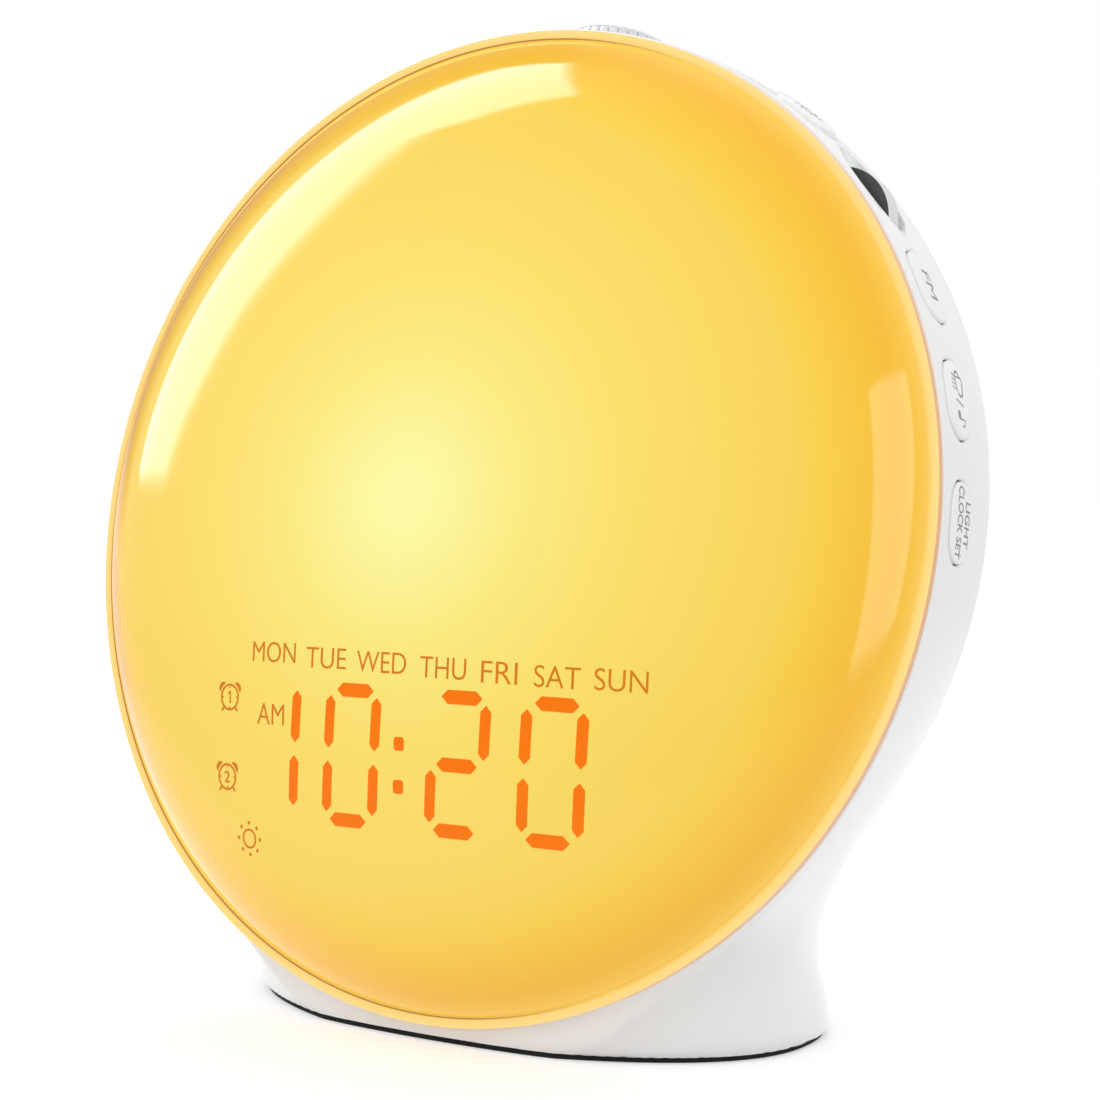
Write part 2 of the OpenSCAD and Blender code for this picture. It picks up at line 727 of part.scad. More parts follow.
// ---- Electronics behind the pan --------------------------------------------
main_s = pan_floor_s + pan_t + 4;
main_w = 92;
main_h = 62;
main_posts = [for (x = [-1, 1]) for (y = [-1, 1])
    [x * (main_w / 2 - 5), y * (main_h / 2 - 5), 0]];
module main_board() {
    color("seagreen") face_frame() difference() {
        deep_box(main_w, main_h, main_s, main_s + board_t);
        for (p = main_posts) translate(p) deep(1.3, main_s - 1, main_s + 2 * board_t);
    }
}
module board_parts() {
    top = main_s + board_t;
    color("dimgray") face_frame() {
        translate([-18, 2, 0]) deep_box(12, 12, top, top + 1.6);
        translate([14, 8, 0]) deep_box(8, 6, top, top + 1.6);
        translate([34, -8, 0]) deep_box(14, 10, top, top + 2.4);
        for (x = [-34, -26]) translate([x, -16, 0]) deep(3, top, top + 7);
        translate([0, -20, 0]) deep(4, top, top + 9);
        for (x = [-8, 8, 24]) translate([x, 24, 0]) deep_box(10, 5, top, top + 4.5);
    }
}
speaker_flange_r = ring_r - 0.6;
speaker_s = ring_s;
basket_h = 11;
magnet_r = 13;
magnet_h = 7;
module speaker_frame() {
    color("dimgray") face_frame() translate([0, grille_y, 0]) rotate_extrude()
        polygon([[magnet_r - 1, -speaker_s + basket_h],
            [speaker_r - 2, -speaker_s + 3],
            [speaker_r, -speaker_s + 1.5],
            [speaker_flange_r, -speaker_s + 1.5],
            [speaker_flange_r, -speaker_s],
            [speaker_r - 0.6, -speaker_s],
            [speaker_r - 3.2, -speaker_s + 2.6],
            [magnet_r - 2, -speaker_s + basket_h - 1],
            [7, -speaker_s + basket_h - 1],
            [7, -speaker_s + basket_h]]);
}
module speaker_cone() {
    lip = speaker_r - 2.2;
    color("black") face_frame() translate([0, grille_y, -speaker_s]) rotate_extrude()
        polygon([[0, 3.8],
            [5, 5],
            [lip - 3, 1],
            [lip, 0.2],
            [lip + 0.5, 0.9],
            [lip - 2.6, 1.8],
            [6.6, 6.2],
            [6.6, basket_h - 1.4],
            [5.8, basket_h - 1.4],
            [5.8, 6.4],
            [0, 5]]);
}
module speaker_magnet() {
    color("silver") face_frame() translate([0, grille_y, 0])
        deep(magnet_r, speaker_s - basket_h - magnet_h, speaker_s - basket_h);
}
hole_rings = 5;
hole_r = 0.9;
module speaker_grille() {
    step = (speaker_r - 2.4) / hole_rings;
    color("white") face_frame() translate([0, grille_y, 0]) difference() {
        deep(grille_r, grille_s - grille_t, grille_s);
        deep(hole_r, grille_s - 2 * grille_t, grille_s + 1);
        for (ring = [1 : hole_rings]) for (i = [0 : 6 * ring - 1])
            rotate([0, 0, 60 * i / ring]) translate([ring * step, 0, 0])
                deep(hole_r, grille_s - 2 * grille_t, grille_s + 1, $fn = 16);
    }
}

// ---- Side boards and switches ----------------------------------------------
module right_key_board() {
    color("seagreen") face_frame() side_board(right_mid, side_board_l);
}
module left_key_board() {
    color("seagreen") face_frame() side_board(left_mid, side_board_l);
}
module upper_key_board() {
    color("seagreen") face_frame() side_board(upper_mid, upper_board_l);
}
module key_switches() {
    color("black") face_frame() {
        side_switches(right_mid, right_keys);
        side_switches(left_mid, left_keys);
        side_switches(upper_mid, upper_keys);
    }
}
module dimmer_key() { color("white") key(right_keys[0], right_mid); }
module sound_key() { color("white") key(right_keys[1], right_mid); }
module radio_key() { color("white") key(right_keys[2], right_mid); }
module colour_key() { color("white") key(upper_keys[0], upper_mid); }
module alarm_one_key() { color("white") key(left_keys[0], left_mid); }
module alarm_two_key() { color("white") key(left_keys[1], left_mid); }
module sleep_key() { color("white") key(left_keys[2], left_mid); }

// ---- Wheel parts -----------------------------------------------------------
module volume_wheel() {
    notch_r = 0.45;
    color("black") face_frame() wheel_frame() {
        difference() {
            deep(wheel_r, wheel_s - wheel_t / 2, wheel_back);
            for (i = [0 : wheel_notches - 1]) rotate([0, 0, 360 * i / wheel_notches])
                translate([wheel_r + 0.15, 0, 0])
                deep(notch_r, wheel_s - wheel_t / 2 - 1, wheel_back + 1, $fn = 16);
        }
        deep(wheel_pin_r, wheel_back - 0.5, wheel_back + wheel_pin_l);
        deep(2.2, wheel_back - 0.5, wheel_back + wheel_clear - 0.1);
    }
}
module wheel_encoder() {
    color("dimgray") face_frame() wheel_frame() difference() {
        translate([-encoder_in, 0, 0]) deep_box(encoder_w, encoder_w, encoder_s, wheel_board_s);
        deep(wheel_pin_r + wheel_pin_gap, encoder_s - 1, wheel_back + wheel_pin_l + 0.3);
    }
}
module wheel_board() {
    color("seagreen") face_frame() wheel_frame() translate([-wheel_board_in + 2, 0, 0])
        deep_box(14, 11, wheel_board_s, wheel_board_s + board_t);
}

// ---- Knob parts ------------------------------------------------------------
module knob_shape(inset) {
    steps = 6;
    rotate_extrude() polygon(concat(
        [[0, -knob_skirt], [knob_r - inset, -knob_skirt]],
        [for (i = [0 : steps]) let (b = 90 * i / steps)
            [knob_r - knob_draft - knob_fillet, knob_h - knob_fillet]
            + (knob_fillet - inset) * [cos(b), sin(b)]],
        [[0, knob_h - inset]]));
}
module light_knob() {
    color("gainsboro") face_frame() knob_frame() {
        difference() {
            union() {
                difference() {
                    knob_shape(0);
                    translate([0, 0, -2 * knob_skirt]) linear_extrude(far / 8)
                        for (i = [0 : knob_ribs / 2 - 1]) rotate(360 * i / knob_ribs)
                            square([far / 8, groove_w], center = true);
                }
                knob_shape(groove_deep);
                knob_rod(knob_r - 3.4, 0, knob_h);
            }
            knob_rod(knob_r - 2.4, -knob_skirt - 1, knob_h - 2.2);
        }
        knob_rod(knob_stem_r, -knob_end, knob_h - 1);
    }
}
module knob_encoder() {
    color("dimgray") face_frame() knob_frame() difference() {
        translate([-encoder_box / 2, -encoder_box / 2, -encoder_end])
            cube([encoder_box, encoder_box, encoder_box_h]);
        knob_rod(knob_stem_r + knob_stem_gap, -encoder_end - 1, 0);
        knob_rod(plunger_r + plunger_gap, -encoder_end - 1,
            -encoder_end + encoder_box_h - encoder_neck_h);
    }
}
module knob_plunger() {
    color("silver") face_frame() knob_frame()
        knob_rod(plunger_r, -knob_end - 0.1 - plunger_t, -knob_end - 0.1);
}
module knob_board() {
    color("seagreen") face_frame() knob_frame() translate([-11, -9, -encoder_end - board_t])
        cube([22, 18, board_t]);
}

// ---- Sockets and battery ---------------------------------------------------
socket_l = 13;
port_wall = port_s - port_floor;
socket_drop = 6.5;
module dc_jack() {
    color("black") face_frame() at_back(ports) translate([jack_x, 0, 0]) {
        difference() {
            union() {
                deep(jack_r, port_wall - 0.5, port_s);
                translate([-4.5, -socket_drop, -port_wall]) cube([9, 11, socket_l]);
            }
            deep(2.85, port_s - 9.5, port_s + 1);
        }
        deep(1, port_s - 10, port_s - 1);
    }
}
module usb_socket() {
    shell = 0.4;
    color("silver") face_frame() at_back(ports) translate([usb_x, 0, 0]) {
        difference() {
            deep_box(usb_w, usb_h, port_wall - socket_l, port_s);
            deep_box(usb_w - 2 * shell, usb_h - 2 * shell, port_s - 10, port_s + 1);
        }
        translate([0, 1.1, 0]) deep_box(11, 1.8, port_s - 10.5, port_s - 0.8);
        translate([0, -(usb_h + 2 * socket_drop) / 4, 0])
            deep_box(usb_w - 3, socket_drop - usb_h / 2, port_wall - socket_l, port_wall - 1);
    }
}
module port_board() {
    color("seagreen") face_frame() at_back(ports)
        translate([-15, -socket_drop - board_t, -port_wall]) cube([30, board_t, 16]);
}
module battery_door() {
    color("white") face_frame() at_back(door) difference() {
        deep_box(door_w, door_w, door_s, door_s + door_t);
        translate([0, battery_screw_y, 0]) {
            deep(1.2, door_s - 1, door_s + 2 * door_t);
            deep(2, door_s + 0.8, door_s + 2 * door_t);
        }
        for (i = [-1 : 1]) translate([0, 8 + 1.8 * i, 0])
            deep_box(14, 0.8, door_s + door_t - 0.4, door_s + 2 * door_t);
    }
}
module battery_holder() {
    top = door_s - door_pad;
    color("dimgray") face_frame() at_back(door) translate([0, cell_shift, 0]) difference() {
        deep_box(holder_w, holder_w - 4, top - holder_h, top);
        deep(cell_r + 0.2, top - cell_h - 0.8, top + 1);
    }
}
module coin_cell() {
    bottom = door_s - door_pad - cell_h - 0.8;
    color("silver") face_frame() at_back(door) translate([0, cell_shift, 0]) {
        deep(cell_r - 0.4, bottom, bottom + 0.4);
        deep(cell_r, bottom + 0.4, bottom + cell_h);
    }
}

// ---- Screws ----------------------------------------------------------------
module battery_screw() {
    color("silver") face_frame() at_back(door) translate([0, battery_screw_y, 0]) {
        deep(1.9, door_s + 0.8, door_s + door_t);
        deep(0.85, door_s - door_pad + 0.4, door_s + 1);
    }
}
module housing_screws() {
    seat = column_s + screw_seat_t;
    color("silver") face_frame() at_columns() {
        deep(2.8, seat, seat + 2);
        deep(screw_r, pan_s - boss_h + pan_t + 1.2, seat + 1);
    }
}
module small_screw(l) {
    cylinder(r = 2, h = 1.3);
    translate([0, 0, -l]) cylinder(r = post_pilot_r - screw_gap, h = l + 1);
}
module board_screws() {
    color("silver") face_frame() {
        for (a = [30, 150, 270]) translate(polar(lamp_screw_at, a) + [0, 0, -pan_floor_s + board_t])
            small_screw(board_t + pan_t - 0.2);
        for (p = main_posts) translate(p + [0, 0, -main_s - board_t])
            mirror([0, 0, 1]) small_screw(board_t + 4);
    }
}

rear_housing();
base_cover();
grip_pad();
front_lens();
reflector_pan();
lamp_board();
lamp_leds();
display_box();
display_segments();
legend_windows();
display_board();
main_board();
board_parts();
speaker_frame();
speaker_cone();
speaker_magnet();
speaker_grille();
right_key_board();
upper_key_board();
left_key_board();
key_switches();
knob_board();
knob_encoder();
knob_plunger();
light_knob();
wheel_board();
wheel_encoder();
volume_wheel();
dimmer_key();
sound_key();
radio_key();
colour_key();
alarm_one_key();
alarm_two_key();
sleep_key();
port_board();
dc_jack();
usb_socket();
battery_door();
battery_holder();
coin_cell();
battery_screw();
housing_screws();
base_screws();
board_screws();
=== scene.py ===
import math
from functools import partial
import bmesh
import bpy
import numpy as np
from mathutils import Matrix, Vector


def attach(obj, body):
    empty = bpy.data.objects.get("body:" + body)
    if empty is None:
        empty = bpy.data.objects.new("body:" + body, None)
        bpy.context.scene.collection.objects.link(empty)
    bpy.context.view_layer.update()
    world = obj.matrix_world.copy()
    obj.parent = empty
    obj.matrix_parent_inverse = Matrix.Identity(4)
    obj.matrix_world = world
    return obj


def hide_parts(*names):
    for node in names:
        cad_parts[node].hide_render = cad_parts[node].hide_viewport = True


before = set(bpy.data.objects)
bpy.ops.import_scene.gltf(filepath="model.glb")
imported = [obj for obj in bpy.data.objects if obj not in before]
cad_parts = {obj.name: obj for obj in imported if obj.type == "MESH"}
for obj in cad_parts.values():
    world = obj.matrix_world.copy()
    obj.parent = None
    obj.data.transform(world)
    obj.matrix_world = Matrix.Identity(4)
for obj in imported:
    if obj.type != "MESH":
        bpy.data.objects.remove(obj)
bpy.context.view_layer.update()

scene = bpy.context.scene
print("frame loaded,", len(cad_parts), "nodes")

# Everything is drawn in mm in the frame of the face and sent to metres at the end:
# x to the right, y up the face, z out of it. Depth s is measured back from the face.
face = {"radius": 85.0, "tilt": 10.0, "ahead": 18.9, "rimGap": 1.9, "pad": 1.0}
leanBack = math.radians(face["tilt"])
faceHeight = face["pad"] + face["rimGap"] + face["radius"] * math.cos(leanBack)
faceAxes = np.array([[1, 0, 0],
                     [0, math.sin(leanBack), math.cos(leanBack)],
                     [0, -math.cos(leanBack), math.sin(leanBack)]])
faceOrigin = np.array([0, -face["ahead"], faceHeight])
depthFlip = np.array([1.0, 1.0, -1.0])


def toWorld(points):
    return (np.asarray(points, float) @ faceAxes + faceOrigin) / 1000


def toFace(points):
    return (np.asarray(points, float) * 1000 - faceOrigin) @ faceAxes.T


def unit(v):
    v = np.asarray(v, float)
    return v / np.maximum(np.linalg.norm(v, axis=-1, keepdims=True), 1e-12)


# Nodes and colours

def linear(code, alpha=1.0):
    parts = [int(code[i:i + 2], 16) / 255 for i in (1, 3, 5)]
    return [c / 12.92 if c <= 0.04045 else ((c + 0.055) / 1.055) ** 2.4 for c in parts] + [alpha]


def give(tree, node, inputs):
    # a node given as a value stands for its first output in use
    for name, value in inputs.items():
        if isinstance(value, bpy.types.Node):
            value = next(out for out in value.outputs if out.enabled)
        if isinstance(value, bpy.types.NodeSocket):
            tree.links.new(value, node.inputs[name])
        else:
            node.inputs[name].default_value = value


def addNode(tree, kind, settings=None, inputs=None):
    # settings may be just the name of an operation
    node = tree.nodes.new(kind)
    if isinstance(settings, str):
        settings = {"operation": settings}
    for name, value in (settings or {}).items():
        if name == "stops":
            ramp = node.color_ramp
            while len(ramp.elements) < len(value):
                ramp.elements.new(0.5)
            for element, (place, code) in zip(ramp.elements, value):
                element.position, element.color = place, linear(code)
        else:
            setattr(node, name, value)
    give(tree, node, inputs or {})
    return node


def within(tree, tests):
    # how far a point is inside all of several ranges: value, outside it, inside it
    total = None
    for value, outside, inside in tests:
        share = addNode(tree, "ShaderNodeMapRange", None,
                        {"Value": value, "From Min": outside, "From Max": inside})
        total = addNode(tree, "ShaderNodeMath", 'MULTIPLY', {0: total, 1: share}) if total else share
    return total


def newMaterial(name):
    material = bpy.data.materials.new(name)
    material.use_nodes = True
    return material, material.node_tree, material.node_tree.nodes["Principled BSDF"]


# A moulded or cast surface: two close colours in slow drifts, a fine grain in the
# relief and in the gloss. Grain and drift are wavelengths in mm.
def finish(name, base, dark, drift, grain, rough, bump, more=None):
    more = more or {}
    material, tree, shader = newMaterial(name)
    place = addNode(tree, "ShaderNodeTexCoord").outputs["Object"]
    drifts, grains = [addNode(tree, "ShaderNodeTexNoise", None,
                              {"Vector": place, "Scale": 1000 / wave, "Detail": detail})
                      for wave, detail in ((drift, 2.0), (grain, 3.0))]
    shade = addNode(tree, "ShaderNodeValToRGB", {"stops": [(0.35, dark), (0.65, base)]}, {"Fac": drifts})
    gloss = addNode(tree, "ShaderNodeMapRange", None,
                    {"Value": grains, "To Min": rough * 0.85, "To Max": rough * 1.15})
    relief = addNode(tree, "ShaderNodeBump", None, {"Height": grains, "Strength": bump, "Distance": 0.0001})
    if "glow" in more:
        give(tree, shader, {"Emission Color": shade, "Emission Strength": more["glow"]})
        shade = addNode(tree, "ShaderNodeVectorMath", 'SCALE', {0: shade, "Scale": more["paint"]})
    give(tree, shader, {"Base Color": shade, "Roughness": gloss, "Normal": relief, "IOR": 1.5,
                        "Metallic": more.get("metal", 0.0), "Coat Weight": more.get("coat", 0.0),
                        "Coat Roughness": 0.08, "Specular IOR Level": more.get("shine", 0.5)})
    return material


# rows: light and dark colour, drift, grain, roughness, relief, and what else differs
finishes = {
    # ABS moulded in a polished tool: bright white, faint orange peel in the gloss
    "whiteAbs": ("#F4F4F3", "#EFEFEE", 60, 2.4, 0.3, 0.05),
    # ABS moulded in a spark-eroded tool: the same white, softer shine
    "keyAbs": ("#F5F5F5", "#F1F1F1", 20, 0.5, 0.4, 0.08),
    # ABS with a sprayed silver coat: flakes too fine to see, so the grain is drawn coarse
    "silverAbs": ("#DEDEE1", "#D4D5D8", 8, 0.25, 0.36, 0.1, {"metal": 0.3, "coat": 0.3}),
    # The wheel's rim is polished; its black is painted greyer, a painted reflection on top of its real gloss
    "paintedSheenBlackAbs": ("#3E3E40", "#343436", 6, 0.8, 0.24, 0.03),
    # Its flat sides come from a spark-eroded tool: nearly no shine
    "mattBlackAbs": ("#1D1B1A", "#171514", 4, 0.3, 0.6, 0.2, {"shine": 0.25}),
    # Moulded black nylon: matt, a little dusty
    "blackNylon": ("#232325", "#1B1B1D", 8, 0.4, 0.55, 0.25),
    # Moulded silicone rubber: matt and slightly uneven
    "padRubber": ("#161617", "#101011", 12, 0.5, 0.8, 0.4, {"shine": 0.2}),
    # Pad-printed ink on the keys: flat grey with tiny pinholes
    "greyInk": ("#8B8D92", "#7D7F85", 2, 0.2, 0.5, 0.1),
    # Lit film under the lens, seen through it
    "orangeLight": ("#FE7C04", "#FC7802", 6, 1.0, 0.12, 0.01, {"glow": 0.5, "paint": 0.5, "shine": 0.1}),
    "amberLight": ("#DC8016", "#D67A14", 5, 1.0, 0.12, 0.01, {"glow": 0.5, "paint": 0.5, "shine": 0.1}),
    # Zinc-plated steel: pale, slightly blue, with faint streaks
    "zincSteel": ("#C9CCD0", "#B5B8BD", 1.5, 0.2, 0.3, 0.1, {"metal": 1.0}),
    # Nickel-plated shell, drawn from sheet
    "nickelPlate": ("#D8D6D0", "#CBC9C3", 3, 0.3, 0.22, 0.05, {"metal": 1.0}),
    # White reflector plastic, matt so that it scatters
    "reflectorWhite": ("#EEEEEA", "#E6E6E2", 15, 0.6, 0.6, 0.1),
    # Solder mask on glass-fibre laminate: the weave shows faintly
    "greenMask": ("#1E6B3C", "#185A32", 4, 0.4, 0.35, 0.2),
    "whiteMask": ("#F0F0EC", "#E6E6E2", 6, 0.4, 0.35, 0.1),
    # Phosphor poured into white packages
    "phosphor": ("#F2D24E", "#E6C13C", 2, 0.2, 0.4, 0.2),
    # Pressed paper: fibres in the relief
    "paperCone": ("#222224", "#171719", 3, 0.3, 0.85, 0.6),
    # Sintered ferrite: dull dark grey with a powdery grain
    "ferrite": ("#4A4A4C", "#3E3E40", 3, 0.3, 0.7, 0.3),
    # Moulded grey base cover with a fine spark texture
    "greyAbs": ("#CFCFCD", "#C6C6C4", 12, 0.5, 0.5, 0.2),
}
materials = {name: finish(name, *spec) for name, spec in finishes.items()}


# Opal acrylic lit from behind: brightest over the lamps, deeper to the rim, with a
# clear hard gloss. The rings are radii on the face in mm.
lensLook = {
    "rings": [(0, "#F6F49E"), (8, "#F6F096"), (24, "#F4E373"), (40, "#F5D960"), (66, "#F1CE4B"),
              (70, "#F2CA3A"), (77, "#F1BC22"), (80, "#F1B61E"), (82, "#F2BF34"), (82.8, "#F4C649"),
              (83.7, "#F9D77D"), (84.8, "#FBDA84")],
    # a deeper peach on the rim's side: partly the acrylic's own edge, partly painted shade
    "edge": "#DBA470", "edgeShadeZ": (-0.16, -0.24), "groove": "#B27A38", "grooveShadeR": (83.08, 83.4),
    "grooveShadeZ": (-0.02, -0.05), "grooveShadeX": (35.0, 10.0), "upperLeftShade": "#D2942E", "upperLeftShadeWay": (-0.978, 0.208, 0),
    "upperLeftShadeTurn": (0.55, 0.9), "upperLeftShadeReach": (73, 79), "upperLeftShadeEnd": (83.3, 82.9),
    "paint": 0.56, "glow": 0.505, "rough": 0.07, "ior": 1.49,
}


def opalLens():
    look = lensLook
    material, tree, shader = newMaterial("opalAcrylic")
    place = addNode(tree, "ShaderNodeTexCoord").outputs["Object"]
    onFace = addNode(tree, "ShaderNodeMapping", {"vector_type": 'TEXTURE'},
                     {"Vector": place, "Location": tuple(faceOrigin / 1000),
                      "Rotation": (math.radians(90) - leanBack, 0, 0), "Scale": (0.001, 0.001, 0.001)})
    x, y, z = addNode(tree, "ShaderNodeSeparateXYZ", None, {"Vector": onFace}).outputs
    flat = addNode(tree, "ShaderNodeCombineXYZ", None, {"X": x, "Y": y})
    radius = addNode(tree, "ShaderNodeVectorMath", 'LENGTH', {0: flat})
    reach = look["rings"][-1][0]
    share = addNode(tree, "ShaderNodeMapRange", None, {"Value": radius, "From Max": reach})
    shade = addNode(tree, "ShaderNodeValToRGB", {"stops": [(r / reach, code) for r, code in look["rings"]]},
                    {"Fac": share})
    # painted shade laid over the glow: on the side of the rim (partly the acrylic's own edge), over
    # the upper left of the rim's flank, and in the narrow groove round the dome, fading out to its right
    turn = addNode(tree, "ShaderNodeVectorMath", 'NORMALIZE', {0: flat})
    turn = addNode(tree, "ShaderNodeVectorMath", 'DOT_PRODUCT', {0: turn, 1: look["upperLeftShadeWay"]})
    low, high = look["grooveShadeR"]
    layers = [("edge", [(z, *look["edgeShadeZ"])]),
              # painted shade, deeper and more orange, over the upper left of the rim's flank
              ("upperLeftShade", [(turn, *look["upperLeftShadeTurn"]), (radius, *look["upperLeftShadeReach"]), (radius, *look["upperLeftShadeEnd"])]),
              # painted shade in the groove round the dome, fading out towards its right
              ("groove", [(z, *look["grooveShadeZ"]), (radius, low, low + 0.02), (radius, high, high - 0.04),
                          (x, *look["grooveShadeX"])])]
    for name, tests in layers:
        shade = addNode(tree, "ShaderNodeMix", {"data_type": 'RGBA'},
                        {"Factor": within(tree, tests), "A": shade, "B": linear(look[name])})
    paint = addNode(tree, "ShaderNodeVectorMath", 'SCALE', {0: shade, "Scale": look["paint"]})
    give(tree, shader, {"Base Color": paint, "Emission Color": shade, "Emission Strength": look["glow"],
                        "Roughness": look["rough"], "IOR": look["ior"]})
    return material


materials["opalAcrylic"] = opalLens()
print("materials made:", len(materials))


# Mesh helpers

def newPiece(name, data):
    piece = bpy.data.objects.new(name, data)
    scene.collection.objects.link(piece)
    return piece


def newMesh(name, points, faces=()):
    mesh = bpy.data.meshes.new(name)
    mesh.from_pydata([tuple(p) for p in points], [], [tuple(f) for f in faces])
    return mesh


def meshPiece(name, points, faces, material=None):
    mesh = newMesh(name, points, faces)
    if material:
        mesh.materials.append(materials[material])
    return newPiece(name, mesh)


def read(items, field, width=3, kind=float):
    values = np.zeros(len(items) * width, kind)
    items.foreach_get(field, values)
    return values.reshape(-1, width) if width > 1 else values


def laid(piece, spot):
    # from mm on a frame to its place in the world
    origin, axes = spot
    points = toWorld(origin + read(piece.data.vertices, "co") @ axes)
    piece.data.vertices.foreach_set("co", points.ravel())
    return piece


def edit(piece, *steps):
    work = bmesh.new()
    work.from_mesh(piece.data)
    for step in steps:
        step(work)
    work.to_mesh(piece.data)
    work.free()
    return piece


def weld(distance):
    return lambda work: bmesh.ops.remove_doubles(work, verts=work.verts, dist=distance)


def settle(piece):
    # the evaluated result becomes the plain mesh
    shapes = bpy.context.evaluated_depsgraph_get()
    mesh = bpy.data.meshes.new_from_object(piece.evaluated_get(shapes))
    piece.modifiers.clear()
    piece.data = mesh
    return piece


def carve(piece, operation, other):
    cut = piece.modifiers.new("cut", 'BOOLEAN')
    cut.operation, cut.object, cut.solver = operation, other, 'MANIFOLD'
    settle(piece)
    bpy.data.objects.remove(other)
    return piece


def tidy(piece, join=1e-7, outward=True, crease=35):
    edit(piece, weld(join))
    if outward:
        edit(piece, lambda work: bmesh.ops.recalc_face_normals(work, faces=work.faces))
    piece.data.polygons.foreach_set("use_smooth", [True] * len(piece.data.polygons))
    piece.data.set_sharp_from_angle(angle=math.radians(crease))
    return piece


def setMaterial(piece, name):
    piece.data.materials.clear()
    piece.data.materials.append(materials[name])
    piece.data.polygons.foreach_set("material_index", [0] * len(piece.data.polygons))
    return piece


def done(piece, body, slot, *nodes):
    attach(piece, body)
    if nodes:
        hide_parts(*nodes)
    return piece


def nodeCopy(name, node):
    return edit(newPiece(name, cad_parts[node].data.copy()), weld(1e-6))


# The housing: a bowl and a foot given by a gap function, negative inside, joined by
# a smooth minimum that fades out towards the lens rim.
shell = {"depth": 58.9, "proud": 0.2, "fall": 2.25, "round": 4.05, "lift": 8.5, "wall": 2.6,
         "blend": 29.5, "blendStart": 4.0, "footW": 110.0, "footD": 59.2, "footRound": 2.3,
         "neckW": 6.2, "neckD": 2.2, "flareH": 12.5, "flarePow": 1.93, "footLean": -0.02,
         "footTop": 18.3, "footTail": 14.0, "toeH": 2.2, "toeIn": 1.0,
         "rimS": 1.4, "rimRound": 0.35, "columns": 420, "rings": 116, "thin": 1.2}
bowlR = face["radius"] + shell["proud"]
lift = math.tan(math.radians(shell["lift"]))
heart = np.array([0, -0.41 * face["radius"], 0.45 * shell["depth"]])


def bowlRadius(s):
    return bowlR * max(0, 1 - (max(s, 0) / shell["depth"]) ** shell["fall"]) ** (1 / shell["round"])


def skinGap(p, inset=0.0):
    x, y, s = p[..., 0], p[..., 1], p[..., 2]
    n, m = shell["round"], shell["fall"]
    r, d = bowlR - inset, shell["depth"] - inset
    bowl = r * (((np.hypot(x, y - lift * s) / r) ** n + (np.maximum(s, 0) / d) ** m) ** (1 / n) - 1)
    back = -face["ahead"] + s * math.cos(leanBack) + y * math.sin(leanBack)
    up = faceHeight - s * math.sin(leanBack) + y * math.cos(leanBack) - face["pad"]
    g = np.maximum(up, 0)
    flare = 1 - np.exp(-(g / shell["flareH"]) ** shell["flarePow"])
    low = np.clip((shell["toeH"] - up) / shell["toeH"], 0, 1)
    pulled = shell["toeIn"] * (1 - np.sqrt(1 - low ** 2)) + inset
    a = shell["footW"] / 2 - shell["neckW"] * flare - pulled
    b = shell["footD"] / 2 - shell["neckD"] * flare - pulled
    k = shell["footRound"]
    side = (a + b) / 2 * (((np.abs(x) / a) ** k
                           + (np.abs(back - shell["footLean"] * g) / b) ** k) ** (1 / k) - 1)
    foot = np.maximum(side, np.maximum(g - shell["footTop"] + inset, -up - shell["footTail"] + inset))
    t = np.clip(s / shell["blendStart"], 0, 1)
    blend = np.maximum(0.01, shell["blend"] * t * t * (3 - 2 * t))
    h = np.maximum(0, 1 - np.abs(bowl - foot) / blend)
    return np.minimum(bowl, foot) - h ** 3 * blend / 6


def castSkin(start, way, inset=0.0, low=0.0, high=190.0):
    shape = np.broadcast(start, way).shape[:-1]
    low, high = np.full(shape, float(low)), np.full(shape, float(high))
    for _ in range(32):
        middle = (low + high) / 2
        inside = skinGap(start + middle[..., None] * way, inset) < 0
        low, high = np.where(inside, middle, low), np.where(inside, high, middle)
    return (low + high) / 2


def skinNormal(points):
    p, e = points * depthFlip, 1e-3 * np.eye(3)
    slope = np.stack([skinGap(p + e[i]) - skinGap(p - e[i]) for i in range(3)], -1)
    return unit(slope * depthFlip)


def skinSolid(name, columns, rings, inset, rimS, rimRound=0.0):
    u = np.arange(columns) / columns
    a = np.radians(-90 + 360 * u - 26 * np.sin(2 * np.pi * u))    # closer together at the foot
    out = np.stack([np.cos(a), np.sin(a), 0 * a], -1)
    edge = rimS + rimRound
    turn = np.arctan2(castSkin(np.array([0, heart[1], edge]), out, inset), edge - heart[2])
    net = []
    for k in range(1, rings):
        t = (turn * k / rings)[:, None]
        way = np.sin(t) * out + np.cos(t) * np.array([0, 0, 1.0])
        net.append(heart + castSkin(heart, way, inset)[:, None] * way)
    for q in (np.radians([0, 22, 45, 68, 90]) if rimRound else [0]):
        middle = np.array([0, heart[1], edge - rimRound * math.sin(q)])
        net.append(middle + (castSkin(middle, out, inset) - rimRound * (1 - math.cos(q)))[:, None] * out)
    pole = heart + np.array([0, 0, 1.0]) * castSkin(heart, np.array([[0, 0, 1.0]]), inset)[0]
    points = np.concatenate([pole[None]] + net) * depthFlip
    last = len(net) - 1

    def at(i, k):
        return 1 + k * columns + i % columns
    faces = [(0, at(i + 1, 0), at(i, 0)) for i in range(columns)]
    faces += [(at(i, k), at(i + 1, k), at(i + 1, k + 1), at(i, k + 1))
              for i in range(columns) for k in range(last)]
    faces.append([at(i, last) for i in range(columns)])
    return meshPiece(name, toWorld(points), faces)


def aboveTable(piece, height):
    # cuts away what is below a height in mm
    reach = 0.3
    corners = [(x, y, z) for z in (-reach, height / 1000) for y in (-reach, reach) for x in (-reach, reach)]
    sides = [(0, 2, 3, 1), (4, 5, 7, 6), (0, 1, 5, 4), (2, 6, 7, 3), (0, 4, 6, 2), (1, 3, 7, 5)]
    return carve(piece, 'DIFFERENCE', meshPiece("belowTable", corners, sides))


